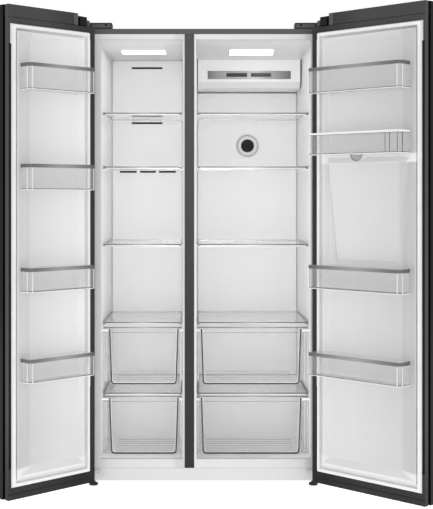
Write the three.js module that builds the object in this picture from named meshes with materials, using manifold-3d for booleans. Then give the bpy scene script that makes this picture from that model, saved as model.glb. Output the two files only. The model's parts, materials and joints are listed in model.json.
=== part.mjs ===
// Side by side refrigerator with both doors standing open.
// Millimetres, +Z up. The cabinet faces -Y: y = 0 is the plane of its front edges, z = 0 the floor.
import * as THREE from 'three';
import { mergeVertices } from 'three/addons/utils/BufferGeometryUtils.js';
import Module from 'manifold-3d';

const wasm = await Module();
wasm.setup();

// ---------------------------------------------------------------- driving dimensions
const GAP = 0.3; // clearance between neighbouring pieces
const HALF_WIDTH = 447.5; // half the cabinet's width
const CABINET_TOP = 1730;
const CABINET_BOTTOM = 24;
const CABINET_DEPTH = 625;
const SHEET = 2; // casing sheet, with its folded edge
const FLANGE = 20; // width of the casing's front flange
const LINER = 2.5; // wall of the moulded liners

const MULLION = [-71, -35]; // strip between the two compartments
const LIP_BOTTOM = 72; // lower edge of the liners' front lips
const LIP_TOP = CABINET_TOP - FLANGE - GAP;
const CAVITY_FLOOR = 105;
const CAVITY_CEILING = 1690;
const STEP_TOP = 340; // the machine room lifts the floor behind the lower drawers
const STEP_DEPTH = 372;
const MACHINE_ROOM_TOP = 326;
const MACHINE_ROOM_FRONT = 386;
const FOAM_BOTTOM = LIP_BOTTOM;
const FOAM_BACK = CABINET_DEPTH - 5;
const BASE_SHEET = 3;
const BACK_PANEL = { half: 445, top: 1727, sheet: 1.5, channels: [-300, -100, 100, 300], channelHalf: 20 };

const FREEZER = {
  x: [-388, -79],
  draft: [2, -7],
  depth: 575,
  back: 521, // front face of the duct cover
  slopeEnd: 150,
  ceilingBack: 1671,
};
const FRIDGE = {
  x: [-27, 407],
  draft: [3, -9],
  depth: 548,
  back: 526,
  slopeEnd: 327,
  ceilingBack: 1653,
};

const SHELF_LEVELS = [1417, 1210, 912];
const COVER_LEVELS = { upper: 612, lower: 341 };
const GLASS = 4;
const TRIM_DROP = { shelf: 9, upper: 20, lower: 13.5 }; // of the front trims, below the glass top
const SHELF_FRONT = 78; // behind the baskets of a closed door
const SHELF_BACK = 468;
const LOWER_COVER_BACK = STEP_DEPTH - 3;
const DRAWERS = {
  upper: { z: [374, 589], length: 345 },
  lower: { z: [107, 324], length: 282 },
};
const DRAWER_FRONT = 80;
const RUNNER = { thick: 4, width: 4 }; // the drawers' side flanges, which slide on the liners' ledges
const FREEZER_DRAWER_X = [-367, -91];
const FRIDGE_DRAWER_X = [-14, 381]; // clears the baskets of the open door

const DOOR_ANGLE = 136; // both doors stand at their stops
const HINGE = { inset: 10.5, forward: 48, pinRadius: 4 };
const DOOR = {
  front: -24, // the door's faces, measured from the hinge pin towards the cabinet
  slabBack: 8,
  frameFront: 16,
  inner: 36,
  bottom: 36,
  top: 1770,
  frameTop: 1725,
  linerBottom: 80,
  linerTop: 1702,
};
const BAND_START = 66; // the raised band leaves the hinge free
const GRIP_TOP = 1632;
const FREEZER_DOOR = { side: -1, end: 377.5, basket: [53, 336], basketFront: 112 };
const FRIDGE_DOOR = { side: 1, end: 483.5, basket: [38, 432], basketFront: 118 };
const BASKET_LEVELS = [[1470, 1563], [1120, 1211], [763, 848], [448, 531]];
const TANK_LEVEL = [1246, 1326];
// The door liners' pocket is dished: its sides slope from the rim down to its floor.
const RIM = { u: 52, outer: 16, wall: 8, top: 55, z: [108, 1676] };
const DISH = { free: 60, hinge: 14, ends: 22, floor: 38.8 };
const ALCOVE = { u: [171, 327], z: [905, 1210], back: 57 };

const FILLER = { u: 186, v: 78, radius: 22 }; // hole in the water tank's lid
const LENS = { half: 87, thick: 4 }; // of the ceiling lights
const DUCT_SHEET = 4;
const FREEZER_DUCT = {
  x: [-384, -88],
  ledge: [-360, -112],
  wide: { x: [[-302, -172]], levels: [1639, 1436, 1406] },
  narrow: { x: [[-352, -281], [-267, -200], [-187, -115]], levels: [1200] },
  slotHalf: 4,
};
const FRIDGE_DUCT = { x: [-22, 396], top: 1532, ribs: [45, 115, 184, 254, 326], ribHalf: 3 };
const AIR_OUTLET = {
  x: [-22, 395],
  back: 522,
  bottom: 1538,
  chamfer: [34, 24],
  wall: 4,
  slots: [[94, 178], [194, 276]],
  slotZ: [1582, 1598],
};
const PURIFIER = { x: 188, z: 1310, radius: 47, depth: 7 };
const HINGE_COVER = { inner: 346, back: 64, height: 23, arm: 10.5, wall: 1.6 };
const HINGE_PLATE = { inner: 350, outer: 445, front: 12, back: 58, eye: 8 };
const LOWER_HINGE = { inner: 385, outer: 446, sheet: 4, eye: 9, below: 2, plate: 5 };
const FOOT = { x: 418, y: 34, radius: 17 };
const CONDENSER_FAN = { x: -85, y: 505, z: 160, radius: 78 };
const EVAPORATOR_FAN = { x: -236, y: 550, z: 760, radius: 58 };
const ROLLER = { x: 405, y: 560, radius: 20, width: 24, axle: 4, cheek: 4 };
const COMPRESSOR = {
  x: 255,
  y: 500,
  profile: [
    [0, 30], [78, 30], [82, 44], [82, 120], [86, 122], [86, 128], [82, 130], [74, 165], [45, 184], [0, 188],
  ],
};
const CONDENSER = { x: [-365, -150], y: [430, 590], z: [50, 270], pitch: 27, rows: 4 };
const EVAPORATOR = { x: [-368, -104], z: [400, 650], pitch: 24, rows: 4 };
const LOUVRES = { x: [-300, -100, 100, 300], half: 70, rows: 6, first: 80, pitch: 38, slotHalf: 6 };
const GLAND = { x: -415, z: 62, radius: 11, hole: 4.5 };
const PADDLE = { y: 24, z: 1168, half: 26, thick: 4, length: 110, barrel: 5, barrelHalf: 74 };
const NOZZLE = { radius: 11, height: 33 };
const DRIP_TRAY = { height: 11, wells: 9, pitch: 15, wellHalf: 3, margin: 14 };

// ---------------------------------------------------------------- materials
const FINISH = {
  blackGlass: [0x1f2022, 0.16, 0.2],
  darkSteel: [0x55575a, 0.4, 0.7],
  whitePlastic: [0xe9eaea, 0.38, 0],
  foam: [0xdccfae, 0.9, 0],
  clearPlastic: [0xdfe4e6, 0.08, 0],
  glass: [0xc9d3d3, 0.05, 0],
  rubber: [0xd8d9d9, 0.7, 0],
  blackRubber: [0x1c1c1d, 0.75, 0],
  zincSteel: [0xa3a6a8, 0.45, 0.9],
  blackPlastic: [0x2a2b2d, 0.5, 0],
  lightLens: [0xffffff, 0.3, 0],
  copper: [0xa86f4a, 0.4, 0.9],
  blackEnamel: [0x202123, 0.45, 0.3],
  aluminium: [0xb9bcc0, 0.4, 0.9],
};

// ---------------------------------------------------------------- solid modelling helpers
function toManifold(geometry) {
  const bare = geometry.clone();
  bare.deleteAttribute('normal');
  bare.deleteAttribute('uv');
  const merged = mergeVertices(bare, 1e-4);
  const mesh = new wasm.Mesh({
    numProp: 3,
    vertProperties: new Float32Array(merged.attributes.position.array),
    triVerts: new Uint32Array(merged.index.array),
  });
  return new wasm.Manifold(mesh);
}

function toGeometry(manifold) {
  const mesh = manifold.getMesh();
  const geometry = new THREE.BufferGeometry();
  geometry.setAttribute('position', new THREE.BufferAttribute(mesh.vertProperties, 3));
  geometry.setIndex(new THREE.BufferAttribute(mesh.triVerts, 1));
  return geometry;
}

function join(...pieces) {
  return toGeometry(pieces.map(toManifold).reduce((whole, piece) => whole.add(piece)));
}

function cut(body, ...tools) {
  return toGeometry(tools.map(toManifold).reduce((rest, tool) => rest.subtract(tool), toManifold(body)));
}

function common(first, second) {
  return toGeometry(toManifold(first).intersect(toManifold(second)));
}

function box([x0, x1], [y0, y1], [z0, z1]) {
  const geometry = new THREE.BoxGeometry(x1 - x0, y1 - y0, z1 - z0);
  return geometry.translate((x0 + x1) / 2, (y0 + y1) / 2, (z0 + z1) / 2);
}

function outline(points) {
  return new THREE.Shape(points.map(([a, b]) => new THREE.Vector2(a, b)));
}

function extrude(shape, depth) {
  return new THREE.ExtrudeGeometry(shape, { depth, bevelEnabled: false, curveSegments: 6 });
}

// An outline in X and Y, standing from z0 to z1.
function plate(shape, [z0, z1]) {
  return extrude(shape, z1 - z0).translate(0, 0, z0);
}

// An outline in Y and Z, running from x0 to x1.
function alongX(shape, [x0, x1]) {
  const axes = new THREE.Matrix4().makeBasis(
    new THREE.Vector3(0, 1, 0), new THREE.Vector3(0, 0, 1), new THREE.Vector3(1, 0, 0));
  return extrude(shape, x1 - x0).applyMatrix4(axes).translate(x0, 0, 0);
}

// An outline in X and Z, running from y0 to y1.
function alongY(shape, [y0, y1]) {
  const axes = new THREE.Matrix4().makeBasis(
    new THREE.Vector3(1, 0, 0), new THREE.Vector3(0, 0, 1), new THREE.Vector3(0, -1, 0));
  return extrude(shape, y1 - y0).applyMatrix4(axes).translate(0, y1, 0);
}

function rodX(radius, [x0, x1], y, z, sides = 24) {
  const rod = new THREE.CylinderGeometry(radius, radius, x1 - x0, sides).rotateZ(Math.PI / 2);
  return rod.translate((x0 + x1) / 2, y, z);
}

function rodY(radius, [y0, y1], x, z, sides = 24) {
  return new THREE.CylinderGeometry(radius, radius, y1 - y0, sides).translate(x, (y0 + y1) / 2, z);
}

function rodZ(radius, [z0, z1], x, y, sides = 24) {
  const rod = new THREE.CylinderGeometry(radius, radius, z1 - z0, sides).rotateX(Math.PI / 2);
  return rod.translate(x, y, (z0 + z1) / 2);
}

function reshape(geometry, move) {
  const position = geometry.attributes.position;
  const point = new THREE.Vector3();
  for (let i = 0; i < position.count; i += 1) {
    move(point.fromBufferAttribute(position, i));
    position.setXYZ(i, point.x, point.y, point.z);
  }
  return geometry;
}

// A mirrored geometry has its faces turned back outwards.
function mirror(geometry, axis) {
  const flipped = geometry.clone().scale(...[0, 1, 2].map((i) => (i === axis ? -1 : 1)));
  const index = flipped.index;
  for (let i = 0; i < index.count; i += 3) {
    const first = index.getX(i);
    index.setX(i, index.getX(i + 1));
    index.setX(i + 1, first);
  }
  return flipped;
}

function addTo(group, name, finish, geometry) {
  const [color, roughness, metalness] = FINISH[finish];
  const material = new THREE.MeshStandardMaterial({ color, roughness, metalness, flatShading: true });
  const mesh = new THREE.Mesh(geometry, material);
  mesh.name = name;
  group.add(mesh);
}

// ---------------------------------------------------------------- cabinet shell
function casing() {
  const inside = HALF_WIDTH - SHEET;
  const window = HALF_WIDTH - FLANGE;
  const back = FOAM_BACK;
  return cut(
    box([-HALF_WIDTH, HALF_WIDTH], [0, back], [CABINET_BOTTOM, CABINET_TOP]),
    box([-inside, inside], [SHEET, back + 1], [CABINET_BOTTOM - 1, CABINET_TOP - SHEET]),
    box([-window, window], [-1, SHEET + 1], [CABINET_BOTTOM - 1, CABINET_TOP - FLANGE]),
  );
}

function backPanel() {
  const { half, top, sheet, channels, channelHalf } = BACK_PANEL;
  const front = CABINET_DEPTH - 4.5;
  const panel = box([-half, half], [front, front + sheet], [MACHINE_ROOM_TOP + 6, top]);
  const stiffeners = channels.map((x) => box([x - channelHalf, x + channelHalf],
    [front + 1, CABINET_DEPTH - 1], [MACHINE_ROOM_TOP + 60, top - 67]));
  return join(panel, ...stiffeners);
}

// A compartment's hollow, grown on every side by a wall thickness.
function cavity(space, wall) {
  const mouth = -10;
  const side = outline([
    [mouth, CAVITY_FLOOR - wall],
    [STEP_DEPTH + wall, CAVITY_FLOOR - wall],
    [STEP_DEPTH + wall, STEP_TOP - wall],
    [space.depth + wall, STEP_TOP - wall],
    [space.depth + wall, space.ceilingBack + wall],
    [space.slopeEnd, space.ceilingBack + wall],
    [0, CAVITY_CEILING + wall],
    [mouth, CAVITY_CEILING + wall],
  ]);
  const [left, right] = [space.x[0] - wall, space.x[1] + wall];
  const middle = (left + right) / 2;
  return reshape(alongX(side, [left, right]), (point) => {
    const draft = point.x < middle ? space.draft[0] : space.draft[1];
    point.x += draft * Math.max(point.y, 0) / space.depth;
  });
}

function foam() {
  const edge = HALF_WIDTH - SHEET - GAP;
  const top = CABINET_TOP - SHEET - GAP;
  const block = box([-edge, edge], [SHEET + GAP, FOAM_BACK], [FOAM_BOTTOM, top]);
  const machineRoom = box([-500, 500], [MACHINE_ROOM_FRONT, 700], [0, MACHINE_ROOM_TOP]);
  return cut(block, machineRoom, cavity(FREEZER, LINER + GAP), cavity(FRIDGE, LINER + GAP));
}

// The lower drawers' covers end at the step over the machine room.
function glassBack(level) {
  return level === COVER_LEVELS.lower ? LOWER_COVER_BACK : SHELF_BACK;
}

// The wall's place at a given depth, so that shelves and ledges follow its draft.
function wallsAt(space, y) {
  return space.x.map((x, i) => x + space.draft[i] * y / space.depth);
}

function ledges(space, level, [y0, y1], width) {
  const [left, right] = wallsAt(space, y1);
  const z = [level - 7, level];
  return [
    box([space.x[0] - LINER, left + width], [y0, y1], z),
    box([right - width, space.x[1] + LINER], [y0, y1], z),
  ];
}

function liner(space, lip, drawerX) {
  const flange = box([lip[0] + GAP, lip[1] - GAP], [0, SHEET], [LIP_BOTTOM, LIP_TOP]);
  const ahead = box([-HALF_WIDTH, HALF_WIDTH], [-20, 0], [0, CABINET_TOP]);
  const shell = cut(join(flange, cut(cavity(space, LINER), ahead)), cavity(space, 0));
  const shelfLedges = [...SHELF_LEVELS, ...Object.values(COVER_LEVELS)].flatMap((level) => ledges(
    space, level - GLASS - GAP, [SHELF_FRONT + 8, glassBack(level) - 10], 8));
  const drawerLedges = Object.values(DRAWERS).flatMap(({ z, length }) => {
    const [left, right] = [drawerX[0] - space.x[0], space.x[1] - drawerX[1]];
    const run = [DRAWER_FRONT + 6, DRAWER_FRONT + length - 4];
    const height = [z[1] - 12, z[1] - RUNNER.thick - GAP];
    const under = RUNNER.width - 1.5;
    return [
      box([space.x[0] - LINER, space.x[0] + left + under], run, height),
      box([space.x[1] - right - under, space.x[1] + LINER], run, height),
    ];
  });
  const grown = cavity(space, LINER / 2);
  return join(shell, ...[...shelfLedges, ...drawerLedges].map((ledge) => common(ledge, grown)));
}

function mullionTrim() {
  return box(MULLION.map((x, i) => x + (i ? -GAP : GAP)), [0, SHEET], [LIP_BOTTOM, LIP_TOP]);
}

function kickPlate() {
  const half = HALF_WIDTH - FLANGE - GAP;
  const face = box([-half, half], [0, BASE_SHEET], [CABINET_BOTTOM, LIP_BOTTOM - GAP]);
  const lowerEdge = box([-half, half], [0, 14], [CABINET_BOTTOM, CABINET_BOTTOM + BASE_SHEET]);
  return join(face, lowerEdge);
}

function basePan() {
  const half = HALF_WIDTH - SHEET - GAP;
  const top = CABINET_BOTTOM + BASE_SHEET;
  const floor = box([-half, half], [15, CABINET_DEPTH - 6], [CABINET_BOTTOM, top]);
  const crossMember = box([-half, half], [60, 64], [CABINET_BOTTOM, FOAM_BOTTOM - GAP]);
  const wells = [-1, 1].map((side) => box(
    [side * ROLLER.x - ROLLER.width / 2 - 2, side * ROLLER.x + ROLLER.width / 2 + 2],
    [ROLLER.y - 24, ROLLER.y + 24], [0, FOAM_BOTTOM]));
  const cheeks = [-1, 1].flatMap((side) => [-1, 1].map((hand) => {
    const x = side * ROLLER.x + hand * (ROLLER.width / 2 + ROLLER.cheek);
    return box([x - ROLLER.cheek / 2, x + ROLLER.cheek / 2], [ROLLER.y - 12, ROLLER.y + 12], [10, top + 8]);
  }));
  const axleHoles = [-1, 1].map((side) => rodX(ROLLER.axle + 0.4,
    [side * ROLLER.x - 24, side * ROLLER.x + 24], ROLLER.y, ROLLER.radius, 16));
  const footHoles = [-1, 1].map((side) => rodZ(6.5, [0, 50], side * FOOT.x, FOOT.y, 16));
  const pan = cut(join(cut(join(floor, crossMember), ...wells), ...cheeks), ...axleHoles, ...footHoles);
  return join(pan, ...condenserFanStand(top));
}

function condenserFanStand(top) {
  const { x, y, z } = CONDENSER_FAN;
  return [
    rodX(20, [x + 15, x + 48], y, z, 20),
    box([x + 22, x + 40], [y - 9, y + 9], [top - 1, z]),
  ];
}

// ---------------------------------------------------------------- compartment fittings
function freezerDuctCover() {
  const { x, ledge, wide, narrow, slotHalf } = FREEZER_DUCT;
  const face = FREEZER.back;
  const panel = box(x, [face, face + DUCT_SHEET], [STEP_TOP + 2, FREEZER.ceilingBack - 1]);
  const shelfStop = box(ledge, [face - 3, face + 1], [1172, 1178]);
  const { x: fanX, y: fanY, z: fanZ } = EVAPORATOR_FAN;
  const fanMotor = rodY(16, [face + 3, fanY - 12.5], fanX, fanZ, 20);
  const slots = [wide, narrow].flatMap((rows) => rows.levels.flatMap((z) => rows.x.map(
    (run) => box(run, [face - 5, face + 10], [z - slotHalf, z + slotHalf]))));
  return cut(join(panel, shelfStop, fanMotor), ...slots);
}

function fridgeDuctCover() {
  const { x, top, ribs, ribHalf } = FRIDGE_DUCT;
  const face = FRIDGE.back;
  const panel = box(x, [face, face + DUCT_SHEET], [STEP_TOP + 2, top]);
  const bars = ribs.map((rib) => box([rib - ribHalf, rib + ribHalf],
    [face - 2.5, face + 1], [STEP_TOP + 10, top - 8]));
  return join(panel, ...bars);
}

function airOutlet() {
  const { x, back, bottom, chamfer, wall, slots, slotZ } = AIR_OUTLET;
  const front = FRIDGE.slopeEnd;
  const top = FRIDGE.ceilingBack - GAP;
  const shape = outline([
    [front, top], [front, bottom + chamfer[1]], [front + chamfer[0], bottom], [back, bottom], [back, top],
  ]);
  const hollow = box([x[0] + 6, x[1] - 9], [front + wall, back + 5],
    [bottom + chamfer[1] + wall, FRIDGE.ceilingBack - 6]);
  const mouths = slots.map((run) => box(run, [front - 5, front + 8], slotZ));
  return cut(alongX(shape, x), hollow, ...mouths);
}

// A light's lens hangs just under the ceiling of its compartment.
function lightLens(space, centre, [front, back]) {
  const slope = (CAVITY_CEILING - space.ceilingBack) / space.slopeEnd;
  const lens = box([centre - LENS.half, centre + LENS.half], [front, back], [-LENS.thick, 0]);
  return reshape(lens, (point) => {
    point.z += CAVITY_CEILING - GAP - slope * Math.min(point.y, space.slopeEnd);
  });
}

function airPurifier() {
  const { x, z, radius, depth } = PURIFIER;
  const face = FRIDGE.back - 3;
  const ring = [[0, 0], [radius, 0], [radius, 3], [radius - 3, depth], [30, depth], [28, 4], [0, 4], [0, 0]];
  const profile = ring.map(([r, h]) => new THREE.Vector2(r, h));
  return mirror(new THREE.LatheGeometry(profile, 32), 1).translate(x, face, z);
}

function shelf(space, level, drop) {
  const side = 1.5;
  const back = glassBack(level);
  const [l0, r0] = wallsAt(space, SHELF_FRONT);
  const [l1, r1] = wallsAt(space, back);
  const glass = plate(outline([
    [l0 + side, SHELF_FRONT], [r0 - side, SHELF_FRONT], [r1 - side, back], [l1 + side, back],
  ]), [level - GLASS, level]);
  const trim = box([l0 + side, r0 - side - 1],
    [SHELF_FRONT - 3, SHELF_FRONT + 5], [level - drop, level + 1.5]);
  const backRail = box([l1 + side, r1 - side], [back - 6, back], [level - 5, level + 4]);
  return join(glass, trim, backRail);
}

function tub([x0, x1], [y0, y1], [z0, z1], wall, taper, radius) {
  const section = (inset, bottom, top) => {
    const shape = new THREE.Shape();
    const [left, right] = [x0 + inset, x1 - inset];
    shape.moveTo(left, top);
    shape.lineTo(left + taper, bottom + radius);
    shape.quadraticCurveTo(left + taper + 1, bottom, left + taper + radius, bottom);
    shape.lineTo(right - taper - radius, bottom);
    shape.quadraticCurveTo(right - taper - 1, bottom, right - taper, bottom + radius);
    shape.lineTo(right, top);
    return shape;
  };
  return cut(
    alongY(section(0, z0, z1), [y0, y1]),
    alongY(section(wall, z0 + wall, z1 + 1), [y0 + wall, y1 - wall]),
  );
}

function drawer(x, { z, length }) {
  const [y0, y1] = [DRAWER_FRONT, DRAWER_FRONT + length];
  const inner = [x[0] + RUNNER.width, x[1] - RUNNER.width];
  const bin = tub(inner, [y0, y1], z, 3, 7, 15);
  const reach = RUNNER.width + 1;
  const sides = [[x[0], x[0] + reach], [x[1] - reach, x[1]]];
  const runners = sides.map((side) => box(side, [y0 + 2, y1], [z[1] - RUNNER.thick, z[1]]));
  const pull = box([inner[0] + 10, inner[1] - 10], [y0 - 4, y0 + 2], [z[1] - 16, z[1]]);
  return join(bin, ...runners, pull);
}

// ---------------------------------------------------------------- hinges and feet
function hingePin(side) {
  return [side * (HALF_WIDTH - HINGE.inset), -HINGE.forward];
}

function topHinge(side) {
  const [x, y] = hingePin(side);
  const { inner, outer, front, back, eye } = HINGE_PLATE;
  const z = [CABINET_TOP + GAP, CABINET_TOP + 4];
  const arm = box([x - eye, x + eye], [y, back], z);
  const width = [Math.min(side * inner, side * outer), Math.max(side * inner, side * outer)];
  const foot = box(width, [front, back], z);
  const pin = rodZ(HINGE.pinRadius, [CABINET_TOP - 20, CABINET_TOP + 7], x, y, 20);
  return join(arm, foot, rodZ(eye, z, x, y, 20), pin);
}

function hingeCover(side) {
  const [x, y] = hingePin(side);
  const { arm: half, back, height, wall } = HINGE_COVER;
  const shell = (inset, top) => {
    const [inner, outer] = [side * (HINGE_COVER.inner + inset), side * (HALF_WIDTH - inset)];
    const width = [Math.min(inner, outer), Math.max(inner, outer)];
    const deck = box(width, [1 + inset, back - inset], [CABINET_TOP + GAP, top]);
    const arm = box([x - half + inset, x + half - inset], [y, 10], [CABINET_TOP + GAP, top]);
    const nose = rodZ(half - inset, [CABINET_TOP + GAP, top], x, y, 24);
    return join(deck, arm, nose);
  };
  const inside = shell(wall, CABINET_TOP + height - 1).translate(0, 0, -2);
  return cut(shell(0, CABINET_TOP + height), inside);
}

function bottomHinge(side) {
  const [x, y] = hingePin(side);
  const { sheet, eye, below, plate: thick } = LOWER_HINGE;
  const z = [DOOR.bottom - below - thick, DOOR.bottom - below];
  const [inner, outer] = [side * LOWER_HINGE.inner, side * LOWER_HINGE.outer];
  const width = [Math.min(inner, outer), Math.max(inner, outer)];
  const shelfPlate = box([x - eye, x + eye], [y, -GAP], z);
  const wall = box(width, [-sheet, -GAP], [CABINET_BOTTOM + 1, LIP_BOTTOM - 6]);
  const pin = rodZ(HINGE.pinRadius, [z[0], DOOR.bottom + 14], x, y, 20);
  const web = box([x - eye, x + eye], [-16, -GAP], [z[0] - 5, z[1]]);
  return join(shelfPlate, rodZ(eye, z, x, y, 20), wall, pin, web);
}

function levellingFoot() {
  const pad = rodZ(FOOT.radius, [0, 8], 0, 0, 24);
  const nut = rodZ(9, [7, 16], 0, 0, 6);
  const stem = rodZ(5, [7, FOAM_BOTTOM - 4], 0, 0, 16);
  return join(pad, nut, stem);
}

function rearRoller() {
  const half = ROLLER.width / 2;
  const tyre = rodX(ROLLER.radius, [-half, half], 0, 0, 24);
  const groove = cut(
    rodX(ROLLER.radius + 2, [-3, 3], 0, 0, 24),
    rodX(ROLLER.radius - 2, [-4, 4], 0, 0, 24),
  );
  const axle = rodX(ROLLER.axle, [-half - 7, half + 7], 0, 0, 12);
  return join(cut(tyre, groove), axle);
}

// ---------------------------------------------------------------- cooling system
function compressor() {
  const profile = COMPRESSOR.profile.map(([r, z]) => new THREE.Vector2(r, z));
  const shell = new THREE.LatheGeometry(profile, 28).rotateX(Math.PI / 2);
  const terminalBox = box([60, 102], [-32, 32], [70, 130]);
  const suctionStub = rodZ(6, [150, 225], -30, 20, 12);
  return join(shell, terminalBox, suctionStub).translate(COMPRESSOR.x, COMPRESSOR.y, 0);
}

// A finned block: the air passes between fins that a serpentine tube holds together.
function finnedCoil({ x: [x0, x1], y: [front, back], z: [z0, z1], pitch, rows }) {
  const middle = (front + back) / 2;
  const gaps = [];
  for (let x = x0 + pitch; x < x1 - pitch / 2; x += pitch) {
    const width = [x - pitch * 0.35, x + pitch * 0.35];
    gaps.push(box(width, [front - 1, middle - 3], [z0 - 1, z1 + 1]));
    gaps.push(box(width, [middle + 3, back + 1], [z0 - 1, z1 + 1]));
  }
  const ends = [];
  for (let row = 0; row < rows; row += 1) {
    const z = z0 + (row + 0.5) * (z1 - z0) / rows;
    ends.push(rodX(4, [x0 - 6, x0 + 1], middle, z, 8), rodX(4, [x1 - 1, x1 + 6], middle, z, 8));
  }
  return join(cut(box([x0, x1], [front, back], [z0, z1]), ...gaps), ...ends);
}

function condenser() {
  const { x, y, z } = CONDENSER;
  const tray = box([x[0] - 2, x[1] + 2], [y[0] - 5, y[1] + 5], [z[0] - 20, z[0] + 2]);
  return join(finnedCoil(CONDENSER), tray);
}

function axialFan({ x, y, z, radius }, blades, depth, turn) {
  const hub = rodY(radius * 0.3, [-depth / 2, depth / 2], 0, 0, 20);
  const pieces = [];
  for (let i = 0; i < blades; i += 1) {
    const blade = box([-radius * 0.16, radius * 0.16], [-1.5, 1.5], [radius * 0.2, radius]);
    pieces.push(blade.rotateZ(0.5).rotateY(i * 2 * Math.PI / blades));
  }
  return join(hub, ...pieces).rotateZ(turn).translate(x, y, z);
}

function evaporator() {
  return finnedCoil({ ...EVAPORATOR, y: [FREEZER.back + 8, FREEZER.depth - 3] });
}

function machineRoomCover() {
  const front = CABINET_DEPTH - 4.5;
  const panel = box([-444, 444], [front, CABINET_DEPTH - 1], [30, MACHINE_ROOM_TOP]);
  const slots = [];
  for (const x of LOUVRES.x) {
    for (let row = 0; row < LOUVRES.rows; row += 1) {
      const z = LOUVRES.first + row * LOUVRES.pitch;
      slots.push(box([x - LOUVRES.half, x + LOUVRES.half], [front - 5, front + 10],
        [z - LOUVRES.slotHalf, z + LOUVRES.slotHalf]));
    }
  }
  const collar = rodY(GLAND.radius, [CABINET_DEPTH - 2, CABINET_DEPTH], GLAND.x, GLAND.z, 16);
  const cordHole = rodY(GLAND.hole, [front - 5, front + 10], GLAND.x, GLAND.z, 16);
  return cut(join(panel, collar), ...slots, cordHole);
}

// ---------------------------------------------------------------- doors
// Door pieces are drawn with x running from the hinge pin to the free edge, y from the pin towards
// the cabinet, and are mirrored for the right-hand door.
function doorFrameEnd(door) {
  return door.end - 4.5;
}

function linerEdge(door) {
  return door.end - 15.5;
}

function doorPanel(door, window) {
  const hingeEdge = -HINGE.inset;
  const end = doorFrameEnd(door);
  const { front, slabBack, frameFront, inner, bottom, frameTop, top } = DOOR;
  const slab = box([hingeEdge, door.end], [front, slabBack], [bottom, top]);
  const core = box([hingeEdge, end - 11], [slabBack - 1, frameFront + 1], [bottom, frameTop]);
  const frame = box([hingeEdge, end], [frameFront, inner], [bottom, frameTop]);
  const band = box([BAND_START, end], [slabBack - 1, inner - 2], [frameTop - 1, top]);
  const hingeRecess = box([hingeEdge - 1, BAND_START], [-14, 40], [CABINET_TOP - 2, top + 30]);
  const hingeCorner = box([hingeEdge - 1, 5], [front - 1, 40], [CABINET_TOP - 2, top + 30]);
  const grip = box([linerEdge(door) + 0.8, end - 2], [20, 40], [145, GRIP_TOP]);
  const seam = box([hingeEdge - 1, end + 1], [inner - 5, 40], [frameTop - 0.8, frameTop + 1.2]);
  const topBore = rodZ(HINGE.pinRadius + 0.6, [CABINET_TOP - 26, CABINET_TOP + 9], 0, 0, 20);
  const bottomBore = rodZ(HINGE.pinRadius + 0.6, [bottom - 9, bottom + 20], 0, 0, 20);
  const body = cut(join(slab, core, frame, band), hingeRecess, hingeCorner, grip, seam, topBore, bottomBore);
  return window ? cut(body, window) : body;
}

function doorLinerOutline(door) {
  const edge = linerEdge(door);
  return outline([
    [18, DOOR.linerBottom], [edge, DOOR.linerBottom], [edge, GRIP_TOP], [edge + 4, GRIP_TOP],
    [edge + 4, DOOR.linerTop], [18, DOOR.linerTop], [18, 1686], [12, 1674], [12, 396], [18, 386],
  ]);
}

function dishEdge(door) {
  return linerEdge(door) - RIM.outer - RIM.wall;
}

// The hollow of the pocket, widening from its floor to the rim's top and on past it.
function dish(door) {
  const past = 6;
  const rise = (RIM.top + past - DISH.floor) / (RIM.top - DISH.floor);
  const [u0, u1] = [RIM.u + RIM.wall / 2, dishEdge(door)];
  const [z0, z1] = [RIM.z[0] + RIM.wall + 6, RIM.z[1] - RIM.wall];
  return reshape(box([0, 1], [DISH.floor, RIM.top + past], [0, 1]), (point) => {
    const inward = point.y > RIM.top ? 1 - rise : 1;
    point.x = point.x > 0.5 ? u1 - DISH.free * inward : u0 + DISH.hinge * inward;
    point.z = point.z > 0.5 ? z1 - DISH.ends * inward : z0 + DISH.ends * inward;
  });
}

function doorLiner(door, bulge) {
  const face = DOOR.inner + GAP;
  const back = face + LINER;
  const sheet = alongY(doorLinerOutline(door), [face, back]);
  const rim = cut(
    box([RIM.u, linerEdge(door) - RIM.outer], [back - 1, RIM.top], RIM.z),
    dish(door),
  );
  const body = join(sheet, rim);
  return bulge ? cut(join(body, bulge.outer), bulge.inner) : body;
}

function gasket(door) {
  const [u0, u1] = [19, linerEdge(door) - 0.5];
  const [z0, z1] = [DOOR.linerBottom + 2, DOOR.linerTop - 2];
  const width = 14;
  const y = [DOOR.inner + LINER + 2 * GAP, HINGE.forward - 0.5];
  return cut(
    box([u0, u1], y, [z0, z1]),
    box([u0 + width, u1 - width], [0, 60], [z0 + width, z1 - width]),
  );
}

// Seen from above, a basket's back follows the dished liner, and it is wider in front of the rim.
function basketPlan(door, u0, inset) {
  const u1 = door.basket[1];
  const front = door.basketFront - inset;
  const back = DISH.floor + 1 + inset;
  const neck = RIM.u + 8 + inset;
  const slopeStart = dishEdge(door) - DISH.free - 3;
  const slopeEnd = back + (RIM.top - DISH.floor) * (u1 - slopeStart) / DISH.free;
  return outline([
    [neck + DISH.hinge + 4, back], [slopeStart, back], [u1 - inset, slopeEnd], [u1 - inset, front - 14],
    [u1 - inset - 8, front], [u0 + inset, front],
    [u0 + inset, RIM.top + 2 + inset], [neck, RIM.top + 2 + inset],
  ]);
}

function basket(door, [z0, z1]) {
  const wall = LINER;
  const u0 = door.basket[0];
  return cut(plate(basketPlan(door, u0, 0), [z0, z1]),
    plate(basketPlan(door, u0, wall), [z0 + wall, z1 + 5]));
}

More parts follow.
